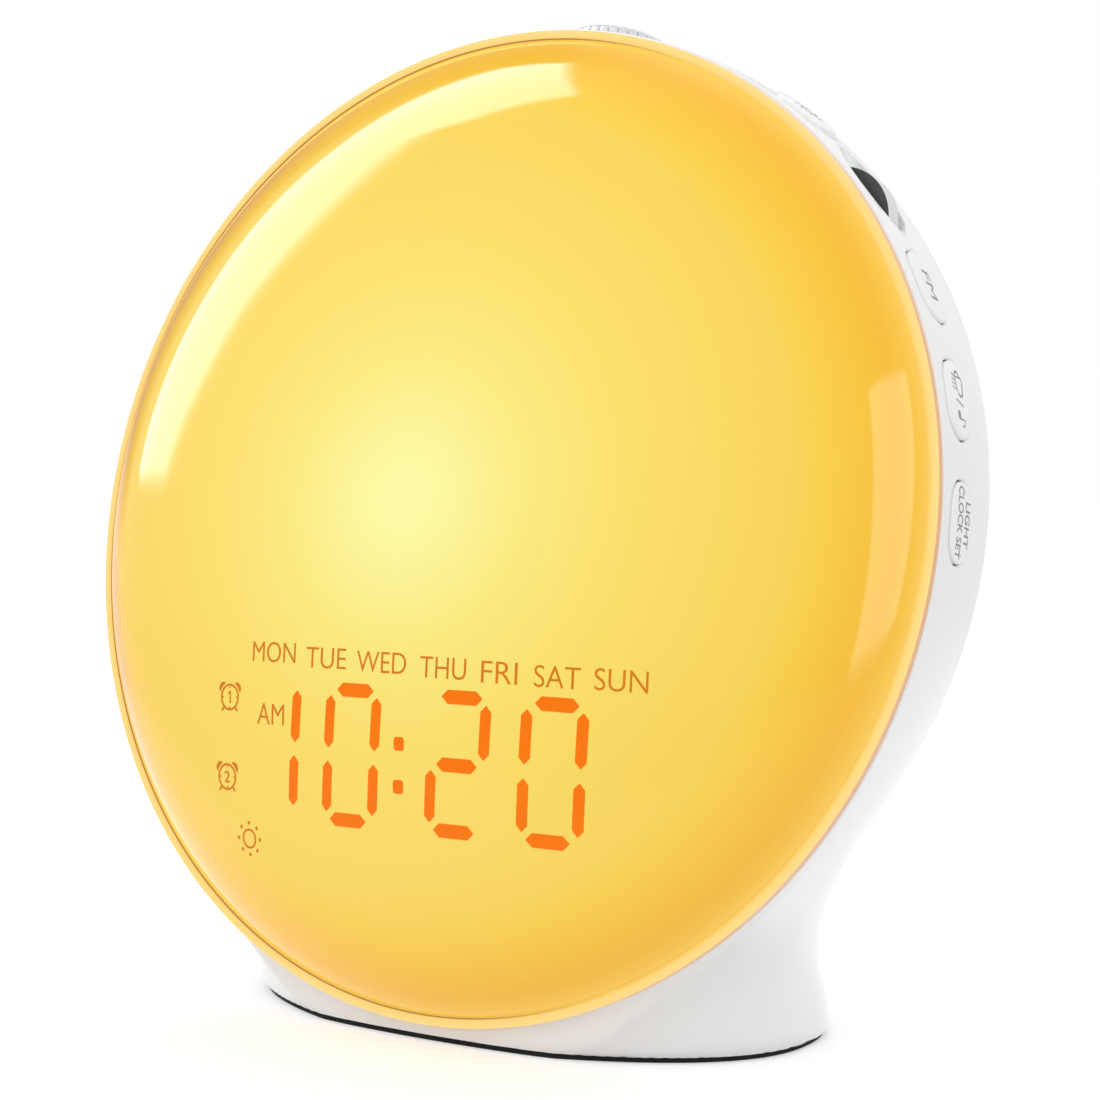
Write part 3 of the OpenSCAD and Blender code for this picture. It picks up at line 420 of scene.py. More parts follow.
# Frames on the housing: an origin, and rows for outwards, along and across.
def rimFrame(angle, s):
    a = math.radians(angle)
    slope = math.atan(bowlRadius(s + 0.5) - bowlRadius(s - 0.5) + lift * math.sin(a))
    ca, sa, cs, ss = math.cos(a), math.sin(a), math.cos(slope), math.sin(slope)
    origin = np.array([bowlRadius(s) * ca, lift * s + bowlRadius(s) * sa, -s])
    return origin, np.array([[ca * cs, sa * cs, ss], [-sa, ca, 0], [-ca * ss, -sa * ss, cs]])


def backFrame(x, y, s):
    return np.array([x, y, -s]), np.array([[0, 0, -1.0], [0, 1, 0], [1, 0, 0]])


def local(spot, out, along, across):
    origin, axes = spot
    return origin + np.stack([out, along, across], -1) @ axes


# Outlines are anchors and outward directions, so that a ring at any offset keeps
# the same number of points.
def ovalOutline(half, steps=14, straight=3):
    rows = []
    for side in (1, -1):
        for q in np.linspace(-90, 90, steps + 1):
            turn = math.radians(q if side > 0 else q + 180)
            rows.append((side * half, 0, math.cos(turn), math.sin(turn)))
        if half:
            for t in np.linspace(1, -1, straight + 2)[1:-1]:
                rows.append((side * half * t, 0, 0, side))
    rows = np.array(rows if half else [r for i, r in enumerate(rows) if i not in (steps + 1, 2 * steps + 1)])
    return rows[:, :2], rows[:, 2:]


def boxOutline(width, height, corner, steps=4, straight=5):
    rows = []
    cx, cy = width / 2 - corner, height / 2 - corner
    spots = [(cx, -cy), (cx, cy), (-cx, cy), (-cx, -cy)]
    for i, (x, y) in enumerate(spots):
        for q in np.linspace(-90 + 90 * i, 90 * i, steps + 1):
            rows.append((x, y, math.cos(math.radians(q)), math.sin(math.radians(q))))
        nx, ny = spots[(i + 1) % 4]
        for t in np.linspace(0, 1, straight + 2)[1:-1]:
            rows.append((x + (nx - x) * t, y + (ny - y) * t,
                         math.cos(math.radians(90 * i)), math.sin(math.radians(90 * i))))
    rows = np.array(rows)
    return rows[:, :2], rows[:, 2:]


def skinHeight(spot, along, across, low=-8.0, high=8.0):
    start = local(spot, 0 * along, along, across) * depthFlip
    return castSkin(start, spot[1][0] * depthFlip, 0.0, low, high)


def ring(spot, outline, radius, height, onSkin, squeeze=1.0, low=-8.0, high=8.0):
    place = outline[0] * squeeze + outline[1] * radius
    out = np.full(len(place), float(height))
    if onSkin:
        out = out + skinHeight(spot, place[:, 0], place[:, 1], low, high)
    return local(spot, out, place[:, 0], place[:, 1])


def loft(name, rings, material=None, place=toWorld):
    n = len(rings[0])
    faces = [(k * n + i, k * n + (i + 1) % n, (k + 1) * n + (i + 1) % n, (k + 1) * n + i)
             for k in range(len(rings) - 1) for i in range(n)]
    faces += [list(range(n))[::-1], [(len(rings) - 1) * n + i for i in range(n)]]
    return tidy(meshPiece(name, place(np.concatenate(rings)), faces, material), 1e-9)


# A pocket whose mouth is rounded where it meets the skin.
def pocket(spot, outline, radius, floor, edge, low=-8.0, high=8.0, above=1.5):
    top = math.radians(76)
    rings = [ring(spot, outline, radius, floor, False)]
    for q in np.linspace(0, top, 6):
        rings.append(ring(spot, outline, radius + edge * (1 - math.cos(q)),
                          edge * (math.sin(q) - math.sin(top)), True, 1.0, low, high))
    wide = radius + edge * (1 - math.cos(top)) + 0.2
    for height in (0.05, above):
        rings.append(ring(spot, outline, wide, height, True, 1.0, low, high))
    return loft("pocket", rings)


def joined(pieces):
    for other in pieces[1:]:
        edit(pieces[0], lambda work: work.from_mesh(other.data))
        bpy.data.objects.remove(other)
    return pieces[0]


# Geometry nodes: a turned part. The profile's points give radius and height, its
# "push" attribute says which way and how far each point goes in a groove.
def newTree(name, inputs):
    tree = bpy.data.node_groups.new(name, 'GeometryNodeTree')
    for label, kind in inputs:
        tree.interface.new_socket(label, in_out='INPUT', socket_type="NodeSocket" + kind)
    tree.interface.new_socket("Part", in_out='OUTPUT', socket_type='NodeSocketGeometry')
    return tree, list(addNode(tree, "NodeGroupInput").outputs)[:len(inputs)]


def endTree(tree, geometry, surface):
    real = addNode(tree, "GeometryNodeRealizeInstances", None, {"Geometry": geometry})
    painted = addNode(tree, "GeometryNodeSetMaterial", None, {"Geometry": real, "Material": surface})
    addNode(tree, "NodeGroupOutput", None, {"Part": painted})
    return tree


def runTree(name, tree, mesh, values):
    piece = newPiece(name, mesh)
    modifier = piece.modifiers.new("nodes", 'NODES')
    modifier.node_group = tree
    for item in tree.interface.items_tree:
        if item.in_out == 'INPUT' and item.name in values:
            modifier[item.identifier] = values[item.name]
    return settle(piece)


def turnedTree():
    tree, (profile, steps, grooves, share, surface) = newTree(
        "turnedPart", [("Profile", "Geometry"), ("Steps Round", "Int"), ("Grooves", "Int"),
                       ("Groove Share", "Float"), ("Surface", "Material")])
    count = addNode(tree, "GeometryNodeAttributeDomainSize", None, {"Geometry": profile})
    rounds = addNode(tree, "ShaderNodeMath", 'ADD', {0: steps, 1: 1.0})
    grid = addNode(tree, "GeometryNodeMeshGrid", None, {"Vertices X": rounds, "Vertices Y": count})
    index = addNode(tree, "GeometryNodeInputIndex")
    row = addNode(tree, "ShaderNodeMath", 'DIVIDE', {0: index, 1: count})
    row = addNode(tree, "ShaderNodeMath", 'FLOOR', {0: row})
    spot = addNode(tree, "ShaderNodeMath", 'MODULO', {0: index, 1: count})
    push = addNode(tree, "GeometryNodeInputNamedAttribute", {"data_type": 'FLOAT_VECTOR'}, {"Name": "push"})
    place, push = [addNode(tree, "GeometryNodeSampleIndex", {"data_type": 'FLOAT_VECTOR'},
                           {"Geometry": profile, "Index": spot, "Value": value})
                   for value in (addNode(tree, "GeometryNodeInputPosition"), push)]
    turns = addNode(tree, "ShaderNodeMath", 'DIVIDE', {0: row, 1: steps})
    angle = addNode(tree, "ShaderNodeMath", 'MULTIPLY', {0: turns, 1: 2 * math.pi})
    pitches = addNode(tree, "ShaderNodeMath", 'MULTIPLY', {0: turns, 1: grooves})
    aside = addNode(tree, "ShaderNodeMath", 'PINGPONG', {0: pitches, 1: 0.5})
    depth = addNode(tree, "ShaderNodeMapRange", {"interpolation_type": 'SMOOTHSTEP'},
                    {"Value": aside, "From Min": 0.0, "From Max": share, "To Min": 1.0, "To Max": 0.0})
    pushed = addNode(tree, "ShaderNodeVectorMath", 'SCALE', {0: push, "Scale": depth})
    moved = addNode(tree, "ShaderNodeVectorMath", 'ADD', {0: place, 1: pushed})
    rotated = addNode(tree, "ShaderNodeVectorRotate", {"rotation_type": 'Z_AXIS'},
                      {"Vector": moved, "Angle": angle})
    put = addNode(tree, "GeometryNodeSetPosition", None, {"Geometry": grid, "Position": rotated})
    closed = addNode(tree, "GeometryNodeMergeByDistance", None, {"Geometry": put, "Distance": 1e-5})
    return endTree(tree, closed, surface)


turnedPart = turnedTree()


# Profile rows: radius, height, push outwards, push upwards, all in mm.
def profileMesh(name, profile):
    rows = np.array([tuple(r) + (0.0,) * (4 - len(r)) for r in profile])
    mesh = newMesh(name, [(r[0], 0, r[1]) for r in rows])
    push = mesh.attributes.new("push", 'FLOAT_VECTOR', 'POINT')
    push.data.foreach_set("vector", np.stack([rows[:, 2], 0 * rows[:, 0], rows[:, 3]], -1).ravel())
    return mesh


def turned(name, profile, spot, material, steps=128, grooves=0, share=0.0, turn=0.0, crease=35):
    piece = runTree(name, turnedPart, profileMesh(name, profile),
                    {"Steps Round": steps, "Grooves": grooves, "Groove Share": share,
                     "Surface": materials[material]})
    c, s = math.cos(turn), math.sin(turn)
    origin, axes = spot                     # rows: x, y and the axis of the part
    axes = np.array([[c, s, 0], [-s, c, 0], [0, 0, 1]]) @ axes
    return tidy(laid(piece, (origin, axes)), 1e-7, True, crease)


def arc(cx, cy, radius, fromDegrees, toDegrees, steps):
    return [(cx + radius * math.cos(math.radians(q)), cy + radius * math.sin(math.radians(q)))
            for q in np.linspace(fromDegrees, toDegrees, steps + 1)]


# Controls: sizes in mm, angles round the face in degrees.
keys = {"length": 12.6, "width": 8.6, "s": 8.7, "pitch": 13.0, "gap": 0.22, "mouth": 0.75,
        "proud": 0.25, "tall": {"colour_key": 0.45}, "edge": 0.45, "flange": 1.3, "flangeT": 1.2,
        "stem": 1.8, "board": bowlR - 21, "tip": 6.6}
wheel = {"radius": 8.6, "thick": 3.4, "proud": 0.5, "angle": 39.3, "s": 8.7, "clear": 0.4,
         "scoopL": 10.5, "scoopW": 5.5, "ridges": 110, "ridge": 0.12, "crown": 0.7, "back": 0.45}
knob = {"radius": 13.1, "height": 6.6, "s": 31.2, "lean": 14.5, "skirt": 4.0, "gap": 0.4, "well": 5.5,
        "fillet": 1.3, "draft": 0.5, "ribs": 44, "groove": 0.34, "collar": 2.2, "collarTop": -1.4}
keyHalf = (keys["length"] - keys["width"]) / 2
keyR = keys["width"] / 2
wheelAt = np.hypot(*rimFrame(wheel["angle"], wheel["s"])[0][:2]) + wheel["proud"] - wheel["radius"]
# each key's angle and that of the board behind it; the left keys mirror the right ones
keyRing = {name: (keys["pitch"] * place, keys["pitch"] * board) for name, place, board in
           (("dimmer_key", 0, 1), ("sound_key", 1, 1), ("radio_key", 2, 1), ("colour_key", 4, 4))}
for name, twin in (("alarm_one_key", "dimmer_key"), ("alarm_two_key", "sound_key"),
                   ("sleep_key", "radio_key")):
    keyRing[name] = tuple(180 - turn for turn in keyRing[twin])


def keyTop(name):
    return keys["proud"] + keys["tall"].get(name, 0)


def knobFrame():
    t = math.radians(90 + knob["lean"])
    return rimFrame(90, knob["s"])[0], np.array([[1, 0, 0], [0, math.cos(t), -math.sin(t)],
                                                 [0, math.sin(t), math.cos(t)]])


def wheelFrame():
    a = math.radians(wheel["angle"])
    origin = np.array([wheelAt * math.cos(a), wheelAt * math.sin(a), -wheel["s"]])
    return origin, np.array([[math.cos(a), math.sin(a), 0], [-math.sin(a), math.cos(a), 0], [0, 0, 1]])


def scoop(grow):
    # a pointed spindle: a circular arc turned about its own chord
    length, width = wheel["scoopL"] + grow, wheel["scoopW"] + grow
    r = (length ** 2 + width ** 2) / (2 * width)
    rings = []
    for t in np.linspace(-1, 1, 41)[1:-1]:
        a = math.asin(length / r) * t
        q = np.radians(np.linspace(0, 360, 48, endpoint=False))
        wide = r * math.cos(a) - r + width
        rings.append(local(rimFrame(wheel["angle"], wheel["s"]), wide * np.cos(q),
                           np.full(48, r * math.sin(a)), wide * np.sin(q)))
    return loft("scoop", rings)


def slab(spot, radius, low, high, steps=96):
    return turned("slab", [(0, low), (radius, low), (radius, high), (0, high)], spot, "whiteAbs", steps)


# Back of the housing, as in the solids: spots are x, y and depth on the face frame.
backY = lift * shell["depth"]
back = {"grille": (0, backY + 18, 57.3), "grilleR": 22.2, "grilleT": 1.6, "speakerR": 19.5,
        "ports": (22, backY - 22, shell["depth"] - 4.2), "portW": 30, "portH": 13,
        "door": (-22, backY - 23, shell["depth"] - 5.6), "doorW": 28.4,
        "lead": (0, backY - 36, 0), "leadR": 1.2,          # hole for the aerial wire
        "wellR": 3.1, "wellS": 8.0, "wellAt": 0.87 * face["radius"], "wells": (-35, 72, 108, 215)}
wellSpots = [(back["wellAt"] * math.cos(a), back["wellAt"] * math.sin(a), back["wellS"])
             for a in np.radians(back["wells"])]
# how far cutters reach past the faces they meet
past = {"side": 0.02, "round": 0.03, "floor": 0.01}


def housing():
    body = skinSolid("rearShell", shell["columns"], shell["rings"], 0, shell["rimS"], shell["rimRound"])
    collarR, low, top = knob["radius"] + knob["gap"] + knob["collar"], -knob["well"] - 2, knob["collarTop"]
    collar = [(0, low), (collarR, low)] + arc(collarR - 0.5, top - 0.5, 0.5, 0, 90, 5) + [(0, top)]
    carve(body, 'UNION', turned("collar", collar, knobFrame(), "whiteAbs", 160))
    carve(body, 'DIFFERENCE', skinSolid("hollow", 200, 60, shell["thin"], -1))
    aboveTable(body, face["pad"])
    core = carve(nodeCopy("core", "rear_housing"), 'INTERSECT', skinSolid("clip", 240, 70, 0.4, 1.45))
    carve(body, 'UNION', aboveTable(core, face["pad"] + 0.03))
    pockets = [pocket(rimFrame(angle, keys["s"]), ovalOutline(keyHalf), keyR + keys["gap"] + past["side"],
                      0.1 - 2 * shell["wall"], keys["mouth"]) for angle, board in keyRing.values()]
    pockets.append(pocket(backFrame(*back["grille"]), ovalOutline(0, 48), back["grilleR"] + past["round"],
                          -back["grilleT"] - past["floor"], 0.5, -4, 8, 4))
    for place, width, length, mouth in (("ports", "portH", "portW", 0.6), ("door", "doorW", "doorW", 0.5)):
        sides = [back[side] + 2 * past["round"] for side in (width, length)]
        pockets.append(pocket(backFrame(*back[place]), boxOutline(*sides, past["side"]), past["side"],
                              -past["floor"], mouth, -8, 12))
    pockets += [pocket(backFrame(*spot), ovalOutline(0, 16), back["wellR"] + past["side"], 0.0, 0.4, 0, 60)
                for spot in wellSpots]
    half, clear = wheel["thick"] / 2, wheel["clear"] + past["side"]
    well = slab(knobFrame(), knob["radius"] + knob["gap"] + past["round"],
                -knob["well"] - past["floor"], 30, 160)
    slot = slab(wheelFrame(), wheel["radius"] + wheel["crown"] + wheel["clear"] + past["round"],
                -half - wheel["back"] - clear, half + clear)
    lead = slab((np.array(back["lead"]), np.eye(3)), back["leadR"] + past["side"], -90, -30, 32)
    for cutter in (joined(pockets), well, scoop(past["round"]), slot, lead):
        carve(body, 'DIFFERENCE', cutter)
    return body


rearShell = setMaterial(tidy(housing(), 1e-8, False, 38), "whiteAbs")


# how near the skin a point counts as on it, and how alike a face's normal is to the skin's
exact = {"near": 0.012, "alike": 0.94}


def trueNormals(piece):
    # faces that lie on the skin take the skin's own normals, so cuts leave no dents
    mesh = piece.data
    points = toFace(read(mesh.vertices, "co"))
    onSkin = np.abs(skinGap(points * depthFlip)) < exact["near"]
    wanted = skinNormal(points)
    corners = read(mesh.loops, "vertex_index", 1, int)
    totals = read(mesh.polygons, "loop_total", 1, int)
    owner = np.repeat(np.arange(len(totals)), totals)
    flat = read(mesh.polygons, "normal") @ faceAxes.T
    agree = onSkin[corners] & ((flat[owner] * wanted[corners]).sum(-1) > exact["alike"])
    whole = np.ones(len(totals), bool)
    np.logical_and.at(whole, owner, agree)
    use = whole[owner]
    normals = read(mesh.corner_normals, "vector")
    normals[use] = wanted[corners[use]] @ faceAxes
    mesh.normals_split_custom_set([tuple(v) for v in normals])


trueNormals(rearShell)
done(rearShell, "housing", "white_gloss_shell", "rear_housing")
print("housing:", len(rearShell.data.polygons), "faces")


# The lens: crown and shoulder arcs, a narrow crease, a flat band with rounded edges.
lens = {"radius": 84.8, "band": 1.8, "edge": 1.4, "wall": 2.0, "shoulderR": 35.0, "shoulderSlope": 50.0,
        "crownSlope": 14.0, "crease": 0.13, "creaseW": 0.3, "round": 0.12, "spigotR": 81.9,
        "spigotH": 1.2, "spigotT": 1.2}
domeFoot = lens["radius"] - lens["band"]
shoulderX = domeFoot - lens["shoulderR"] * math.sin(math.radians(lens["shoulderSlope"]))
shoulderZ = -lens["shoulderR"] * math.cos(math.radians(lens["shoulderSlope"]))
crownR = shoulderX / math.sin(math.radians(lens["crownSlope"])) + lens["shoulderR"]
crownZ = shoulderZ - (crownR - lens["shoulderR"]) * math.cos(math.radians(lens["crownSlope"]))
crownEdge = crownR * math.sin(math.radians(lens["crownSlope"]))


def domeHeight(r):
    r = np.asarray(r, float)
    crown = crownZ + np.sqrt(np.maximum(crownR ** 2 - r ** 2, 0))
    shoulder = shoulderZ + np.sqrt(np.maximum(lens["shoulderR"] ** 2 - (r - shoulderX) ** 2, 0))
    return np.where(r < crownEdge, crown, shoulder)


def domeNormal(points):
    r = np.hypot(points[:, 0], points[:, 1])
    centre = np.where((r < crownEdge)[:, None], [[0, 0, crownZ]],
                      np.stack([points[:, 0] / np.maximum(r, 1e-6) * shoulderX,
                                points[:, 1] / np.maximum(r, 1e-6) * shoulderX,
                                np.full(len(r), shoulderZ)], -1))
    return unit(points - centre)


def lensProfile():
    flank, crown = 90 - lens["shoulderSlope"], 90 - lens["crownSlope"]
    inR, bend = lens["wall"], lens["round"]
    share = (lens["spigotR"] - lens["spigotT"] - shoulderX) / (lens["shoulderR"] - inR)
    inFoot = math.degrees(math.asin(share))
    top, foot, wide = lens["edge"], domeFoot, lens["creaseW"]
    rows = arc(0, crownZ, crownR, 90, crown, 26)
    rows += arc(shoulderX, shoulderZ, lens["shoulderR"], crown, flank, 30)[1:-1]
    rows += [(foot + 0.03, -0.03), (foot + 0.06, -lens["crease"]), (foot + wide, -lens["crease"]),
             (foot + wide + 0.02, -0.03), (foot + wide + 0.06, 0)]
    rows += arc(lens["radius"] - bend, -bend, bend, 90, 0, 5)
    rows += arc(lens["radius"] - bend, bend - top, bend, 0, -90, 5)
    rows += [(lens["spigotR"], -top), (lens["spigotR"], -top - lens["spigotH"]),
             (lens["spigotR"] - lens["spigotT"], -top - lens["spigotH"])]
    rows += arc(shoulderX, shoulderZ, lens["shoulderR"] - inR, 90 - inFoot, crown, 14)
    rows += arc(0, crownZ, crownR - inR, crown, 90, 12)[1:]
    rows[0] = (0, rows[0][1])
    rows[-1] = (0, rows[-1][1])
    return rows


faceFrame = (np.zeros(3), np.eye(3))
lensDome = turned("lensDome", lensProfile(), faceFrame, "opalAcrylic", 384, crease=50)
done(lensDome, "housing", "opal_lens", "front_lens")
print("lens made")


# Keys: a cap that follows the skin, a flange behind it, and a stem that ends square
# on its board
def keyPiece(name, angle, middle):
    spot, outline = rimFrame(angle, keys["s"]), ovalOutline(keyHalf)
    curve = (keys["length"] + 2 * keys["flange"]) ** 2 / (8 * (bowlR - shell["wall"]))
    flangeTop = shell["wall"] + curve + 0.6
    edge, proud, stem = keys["edge"], keyTop(name), keys["stem"]
    rings = [ring(spot, outline, r, proud, True) for r in (0.05, 1.0, 2.0, 3.0, keyR - edge)]
    rings += [ring(spot, outline, keyR - edge + edge * math.sin(q), proud - edge * (1 - math.cos(q)), True)
              for q in np.radians([22, 45, 68, 90])]
    rings += [ring(spot, outline, r, -flangeTop - t, False)
              for r, t in ((keyR, 0), (keyR + keys["flange"], 0), (keyR + keys["flange"], keys["flangeT"]),
                           (stem + 0.3, keys["flangeT"]))]
    rings.append(ring(spot, outline, stem, -flangeTop - keys["flangeT"], False, 0.0))
    m = math.radians(middle)
    out, side = np.array([math.cos(m), math.sin(m)]), np.array([-math.sin(m), math.cos(m)])
    aside = spot[0][:2] @ side + outline[1][:, :1] * stem
    rings.append(np.column_stack([(keys["board"] + keys["tip"]) * out + aside * side,
                                  outline[1][:, 1] * stem - keys["s"]]))
    return done(loft(name + "Cap", rings, "keyAbs"), name, "white_key", name)


for name, turns in keyRing.items():
    keyPiece(name, *turns)
print("keys made")


# Thumb wheel: a glossy ridged rim, matt flat sides, and its axle
def wheelPiece():
    r, half, ridge = wheel["radius"] + wheel["crown"], wheel["thick"] / 2, -wheel["ridge"]
    rows = [(0, half - 0.25), (r - 2.8, half - 0.25), (r - 2.6, half), (r - 0.3, half),
            (r - 0.06, half - 0.06), (r, half - 0.16, ridge, 0), (r, 0, ridge, 0), (r, 0.16 - half, ridge, 0),
            (r - 0.06, 0.06 - half), (r - 0.3, -half)]
    rows = [(x, y - (wheel["back"] if y < 0 else 0.1), *more) for x, y, *more in rows]
    rows += [(2.2, -half - wheel["back"]), (1.2, -half - wheel["back"] - 0.02),
             (1.2, -half - 3.3), (1.1, -half - 3.4), (0, -half - 3.4)]
    # the rim's greyer black is a painted reflection
    piece = turned("thumbWheel", rows, wheelFrame(), "paintedSheenBlackAbs", wheel["ridges"] * 6,
                   wheel["ridges"], 0.34)
    piece.data.materials.append(materials["mattBlackAbs"])
    for side in piece.data.polygons:
        side.material_index = int(abs(side.normal @ Vector(faceAxes[2])) > 0.9)
    return done(piece, "volume_wheel", "black_gloss", "volume_wheel")


wheelPiece()


# Knob: broad ribs with narrow grooves that roll over the rounded top edge
def knobPiece():
    r, h, f, deep = knob["radius"], knob["height"], knob["fillet"], knob["groove"]
    rows = [(0, -10.5), (2.8, -10.5), (3, -10.3), (3, h - 3), (r - 2.4, h - 3), (r - 2.4, -knob["skirt"]),
            (r - 0.3, -knob["skirt"], -deep, 0), (r, -knob["skirt"] + 0.3, -deep, 0),
            (r - 0.1, 0, -deep, 0)]
    for q in np.radians(np.linspace(0, 90, 9)):
        rows.append((r - knob["draft"] - f + f * math.cos(q), h - f + f * math.sin(q),
                     -deep * math.cos(q), -deep * math.sin(q)))
    rows += [(r - knob["draft"] - f - 0.6, h, 0, -deep), (r - knob["draft"] - f - 1.1, h, 0, -deep * 0.6),
             (r - knob["draft"] - f - 1.5, h), (r - 4.2, h), (r - 4.6, h - 0.12), (4, h - 0.3), (0, h - 0.35)]
    piece = turned("brightnessKnob", rows, knobFrame(), "silverAbs", knob["ribs"] * 10, knob["ribs"], 0.13,
                   math.radians(2))
    return done(piece, "light_knob", "silver_knob", "light_knob")


knobPiece()
print("wheel and knob made")


# Marks: flat shapes in mm, laid on a surface and given a film's thickness.
def wordShape(text, box, swell=0.0):
    # text fitted to a box of left, bottom, right, top
    curve = bpy.data.curves.new("word", 'FONT')
    curve.body, curve.size, curve.resolution_u, curve.offset = text, 1.0, 6, swell
    carrier = newPiece("word", curve)
    mesh = bpy.data.meshes.new_from_object(carrier.evaluated_get(bpy.context.evaluated_depsgraph_get()))
    bpy.data.objects.remove(carrier)
    points = read(mesh.vertices, "co")[:, :2]
    low, high = points.min(0), points.max(0)
    corner, size = np.array(box[:2]), np.array(box[2:]) - np.array(box[:2])
    return corner + (points - low) / (high - low) * size, [tuple(p.vertices) for p in mesh.polygons]


def strip(points, width, closed=False):
    # a line of even width
    p = np.array(points, float)
    before, after = np.roll(p, 1, 0), np.roll(p, -1, 0)
    if not closed:
        before[0], after[-1] = p[0], p[-1]
    steps = [d / np.maximum(np.linalg.norm(d, axis=1, keepdims=True), 1e-9) for d in (p - before, after - p)]
    way = unit(steps[0] + steps[1])
    side = np.stack([-way[:, 1], way[:, 0]], -1) * width / 2
    n = len(p)
    last = n if closed else n - 1
    faces = [(i, n + i, n + (i + 1) % n, (i + 1) % n) for i in range(last)]
    return np.concatenate([p + side, p - side]), faces


def bar(x1, y1, x2, y2, width):
    # a display bar with pointed ends
    a, b = np.array([x1, y1], float), np.array([x2, y2], float)
    length = np.linalg.norm(b - a)
    way = (b - a) / length
    side = np.array([-way[1], way[0]])
    rows = [(0, 0.03), (width * 0.25, 0.27), (width * 0.49, 0.5)]
    cut = rows + [(length * t, 0.5) for t in (0.4, 0.5, 0.6)] + [(length - x, w) for x, w in rows[::-1]]
    n = len(cut)
    points = [a + way * x + side * width * w * k for k in (1, -1) for x, w in cut]
    return np.array(points), [(i, n + i, n + i + 1, i + 1) for i in range(n - 1)]


def oval(x, y, rx, ry, steps, power=1.0):
    # a power below 1 squares the oval up
    q = np.radians(np.linspace(0, 360, steps, endpoint=False))
    c, s = np.cos(q), np.sin(q)
    return np.stack([x + rx * np.sign(c) * np.abs(c) ** power, y + ry * np.sign(s) * np.abs(s) ** power], -1)


def disc(*spec):
    points = oval(*spec)
    return points, [tuple(range(len(points)))]


def rays(x, y, inner, outer, width, turns):
    return [strip([(x + r * math.cos(q), y + r * math.sin(q)) for r in (inner, outer)], width)
            for q in np.radians(turns)]


def onLens(flat, up):
    points = np.column_stack([flat, domeHeight(np.hypot(flat[:, 0], flat[:, 1]))])
    return points + up * domeNormal(points)


def onKey(angle, name):
    spot = rimFrame(angle, keys["s"])

    def lay(flat, up):
        # u runs down the rim and v towards the back
        along, across = -flat[:, 0], -flat[:, 1]
        return local(spot, skinHeight(spot, along, across) + keyTop(name) + up, along, across)
    return lay


def marks(name, shapes, lay, film, material, body, slot):
    # the film's two faces are at its two heights
    points, faces, n = [], [], 0
    for flat, polygons in shapes:
        points.append(np.asarray(flat, float))
        faces += [tuple(n + i for i in f) for f in polygons]
        n += len(flat)
    flat = np.concatenate(points)
    edges = {(a, b): True for f in faces for a, b in zip(f, f[1:] + f[:1])}
    walls = [(b, a, a + n, b + n) for a, b in edges if (b, a) not in edges]
    piece = meshPiece(name, toWorld(np.concatenate([lay(flat, up) for up in film])),
                      faces + [tuple(i + n for i in f[::-1]) for f in faces] + walls, material)
    return done(tidy(piece, 1e-8), body, slot)


def slanted(x, y):
    return x + 0.047 * (y + 42.2), y


# The time display: bars between their centre lines, with the upper and lower half apart.
display = {"top": -31.55, "middle": -42.25, "bottom": -52.65, "width": 9.75, "bar": 2.25, "upright": 1.98,
           "digits": ((-30.2, "bc"), (-12.85, "abcdef"), (8.4, "abged"), (25.5, "abcdef")),
           "colon": ((1.98, -39.6), (1.88, -46.45)), "inset": 1.35, "gap": 1.05}


def digitShapes():
    d = display
    shapes = []
    for left, lit in d["digits"]:
        right = left + d["width"]
        lines = {"a": (left + d["inset"], d["top"], right - d["inset"] + 0.5, d["top"]),
                 "g": (left + d["inset"] - 0.3, d["middle"], right - d["inset"] + 0.2, d["middle"]),
                 "d": (left + d["inset"] - 0.5, d["bottom"], right - d["inset"], d["bottom"])}
        for bars, x in (("fe", left), ("bc", right)):
            lines[bars[0]] = (x, d["top"] - d["gap"], x, d["middle"] + d["gap"] + 0.1)
            lines[bars[1]] = (x, d["middle"] - d["gap"], x, d["bottom"] + d["gap"] + 0.1)
        up = 0.4 if lit == "bc" else 0.0
        for part in lit:
            x1, y1, x2, y2 = lines[part][0], lines[part][1] + up, lines[part][2], lines[part][3] + up
            width = d["bar"] if part in "agd" else d["upright"]
            shapes.append(bar(*slanted(x1, y1), *slanted(x2, y2), width))
    return shapes + [disc(x, y, 1.03, 1.12, 28, 0.5) for x, y in d["colon"]]


def bellShapes(x, y, number, size=1.0):
    # a clock with two bells and two feet, its number inside
    def at(r, q):
        return x + size * r * math.cos(math.radians(q)), y + size * r * math.sin(math.radians(q))

    shapes = [strip(oval(x, y, 2.35 * size, 2.35 * size, 40), 0.38 * size, True)]
    shapes += rays(x, y, 1.75 * size, 2.2 * size, 0.28 * size, (0, 90, 180, 270))
    for side in (0, 1):
        turns = [180 - q if side else q for q in np.linspace(18, 62, 13)]
        inner = [at(2.9, q) for q in turns]
        outer = [at(2.92 + 0.75 * math.sin(math.pi * u) ** 0.7, q)
                 for u, q in zip(np.linspace(0.0, 0.95, 13), turns)]
        faces = [(i, i + 1, i + 14, i + 13) for i in range(12)]
        shapes.append((np.array(inner + outer), faces if side else [f[::-1] for f in faces]))
        shapes += rays(x, y, 2.5 * size, 3.4 * size, 0.42 * size, [230 + 80 * side])
    if number == "1":
        shapes.append(strip([(x + 0.12 * size, y - 1.1 * size), (x + 0.12 * size, y + 1.1 * size),
                             (x - 0.45 * size, y + 0.6 * size)], 0.4 * size))
    else:
        wide, tall = 0.72 * size, 1.1 * size
        shapes.append(wordShape(number, (x - wide, y - tall, x + wide, y + tall), 0.01))
    return shapes


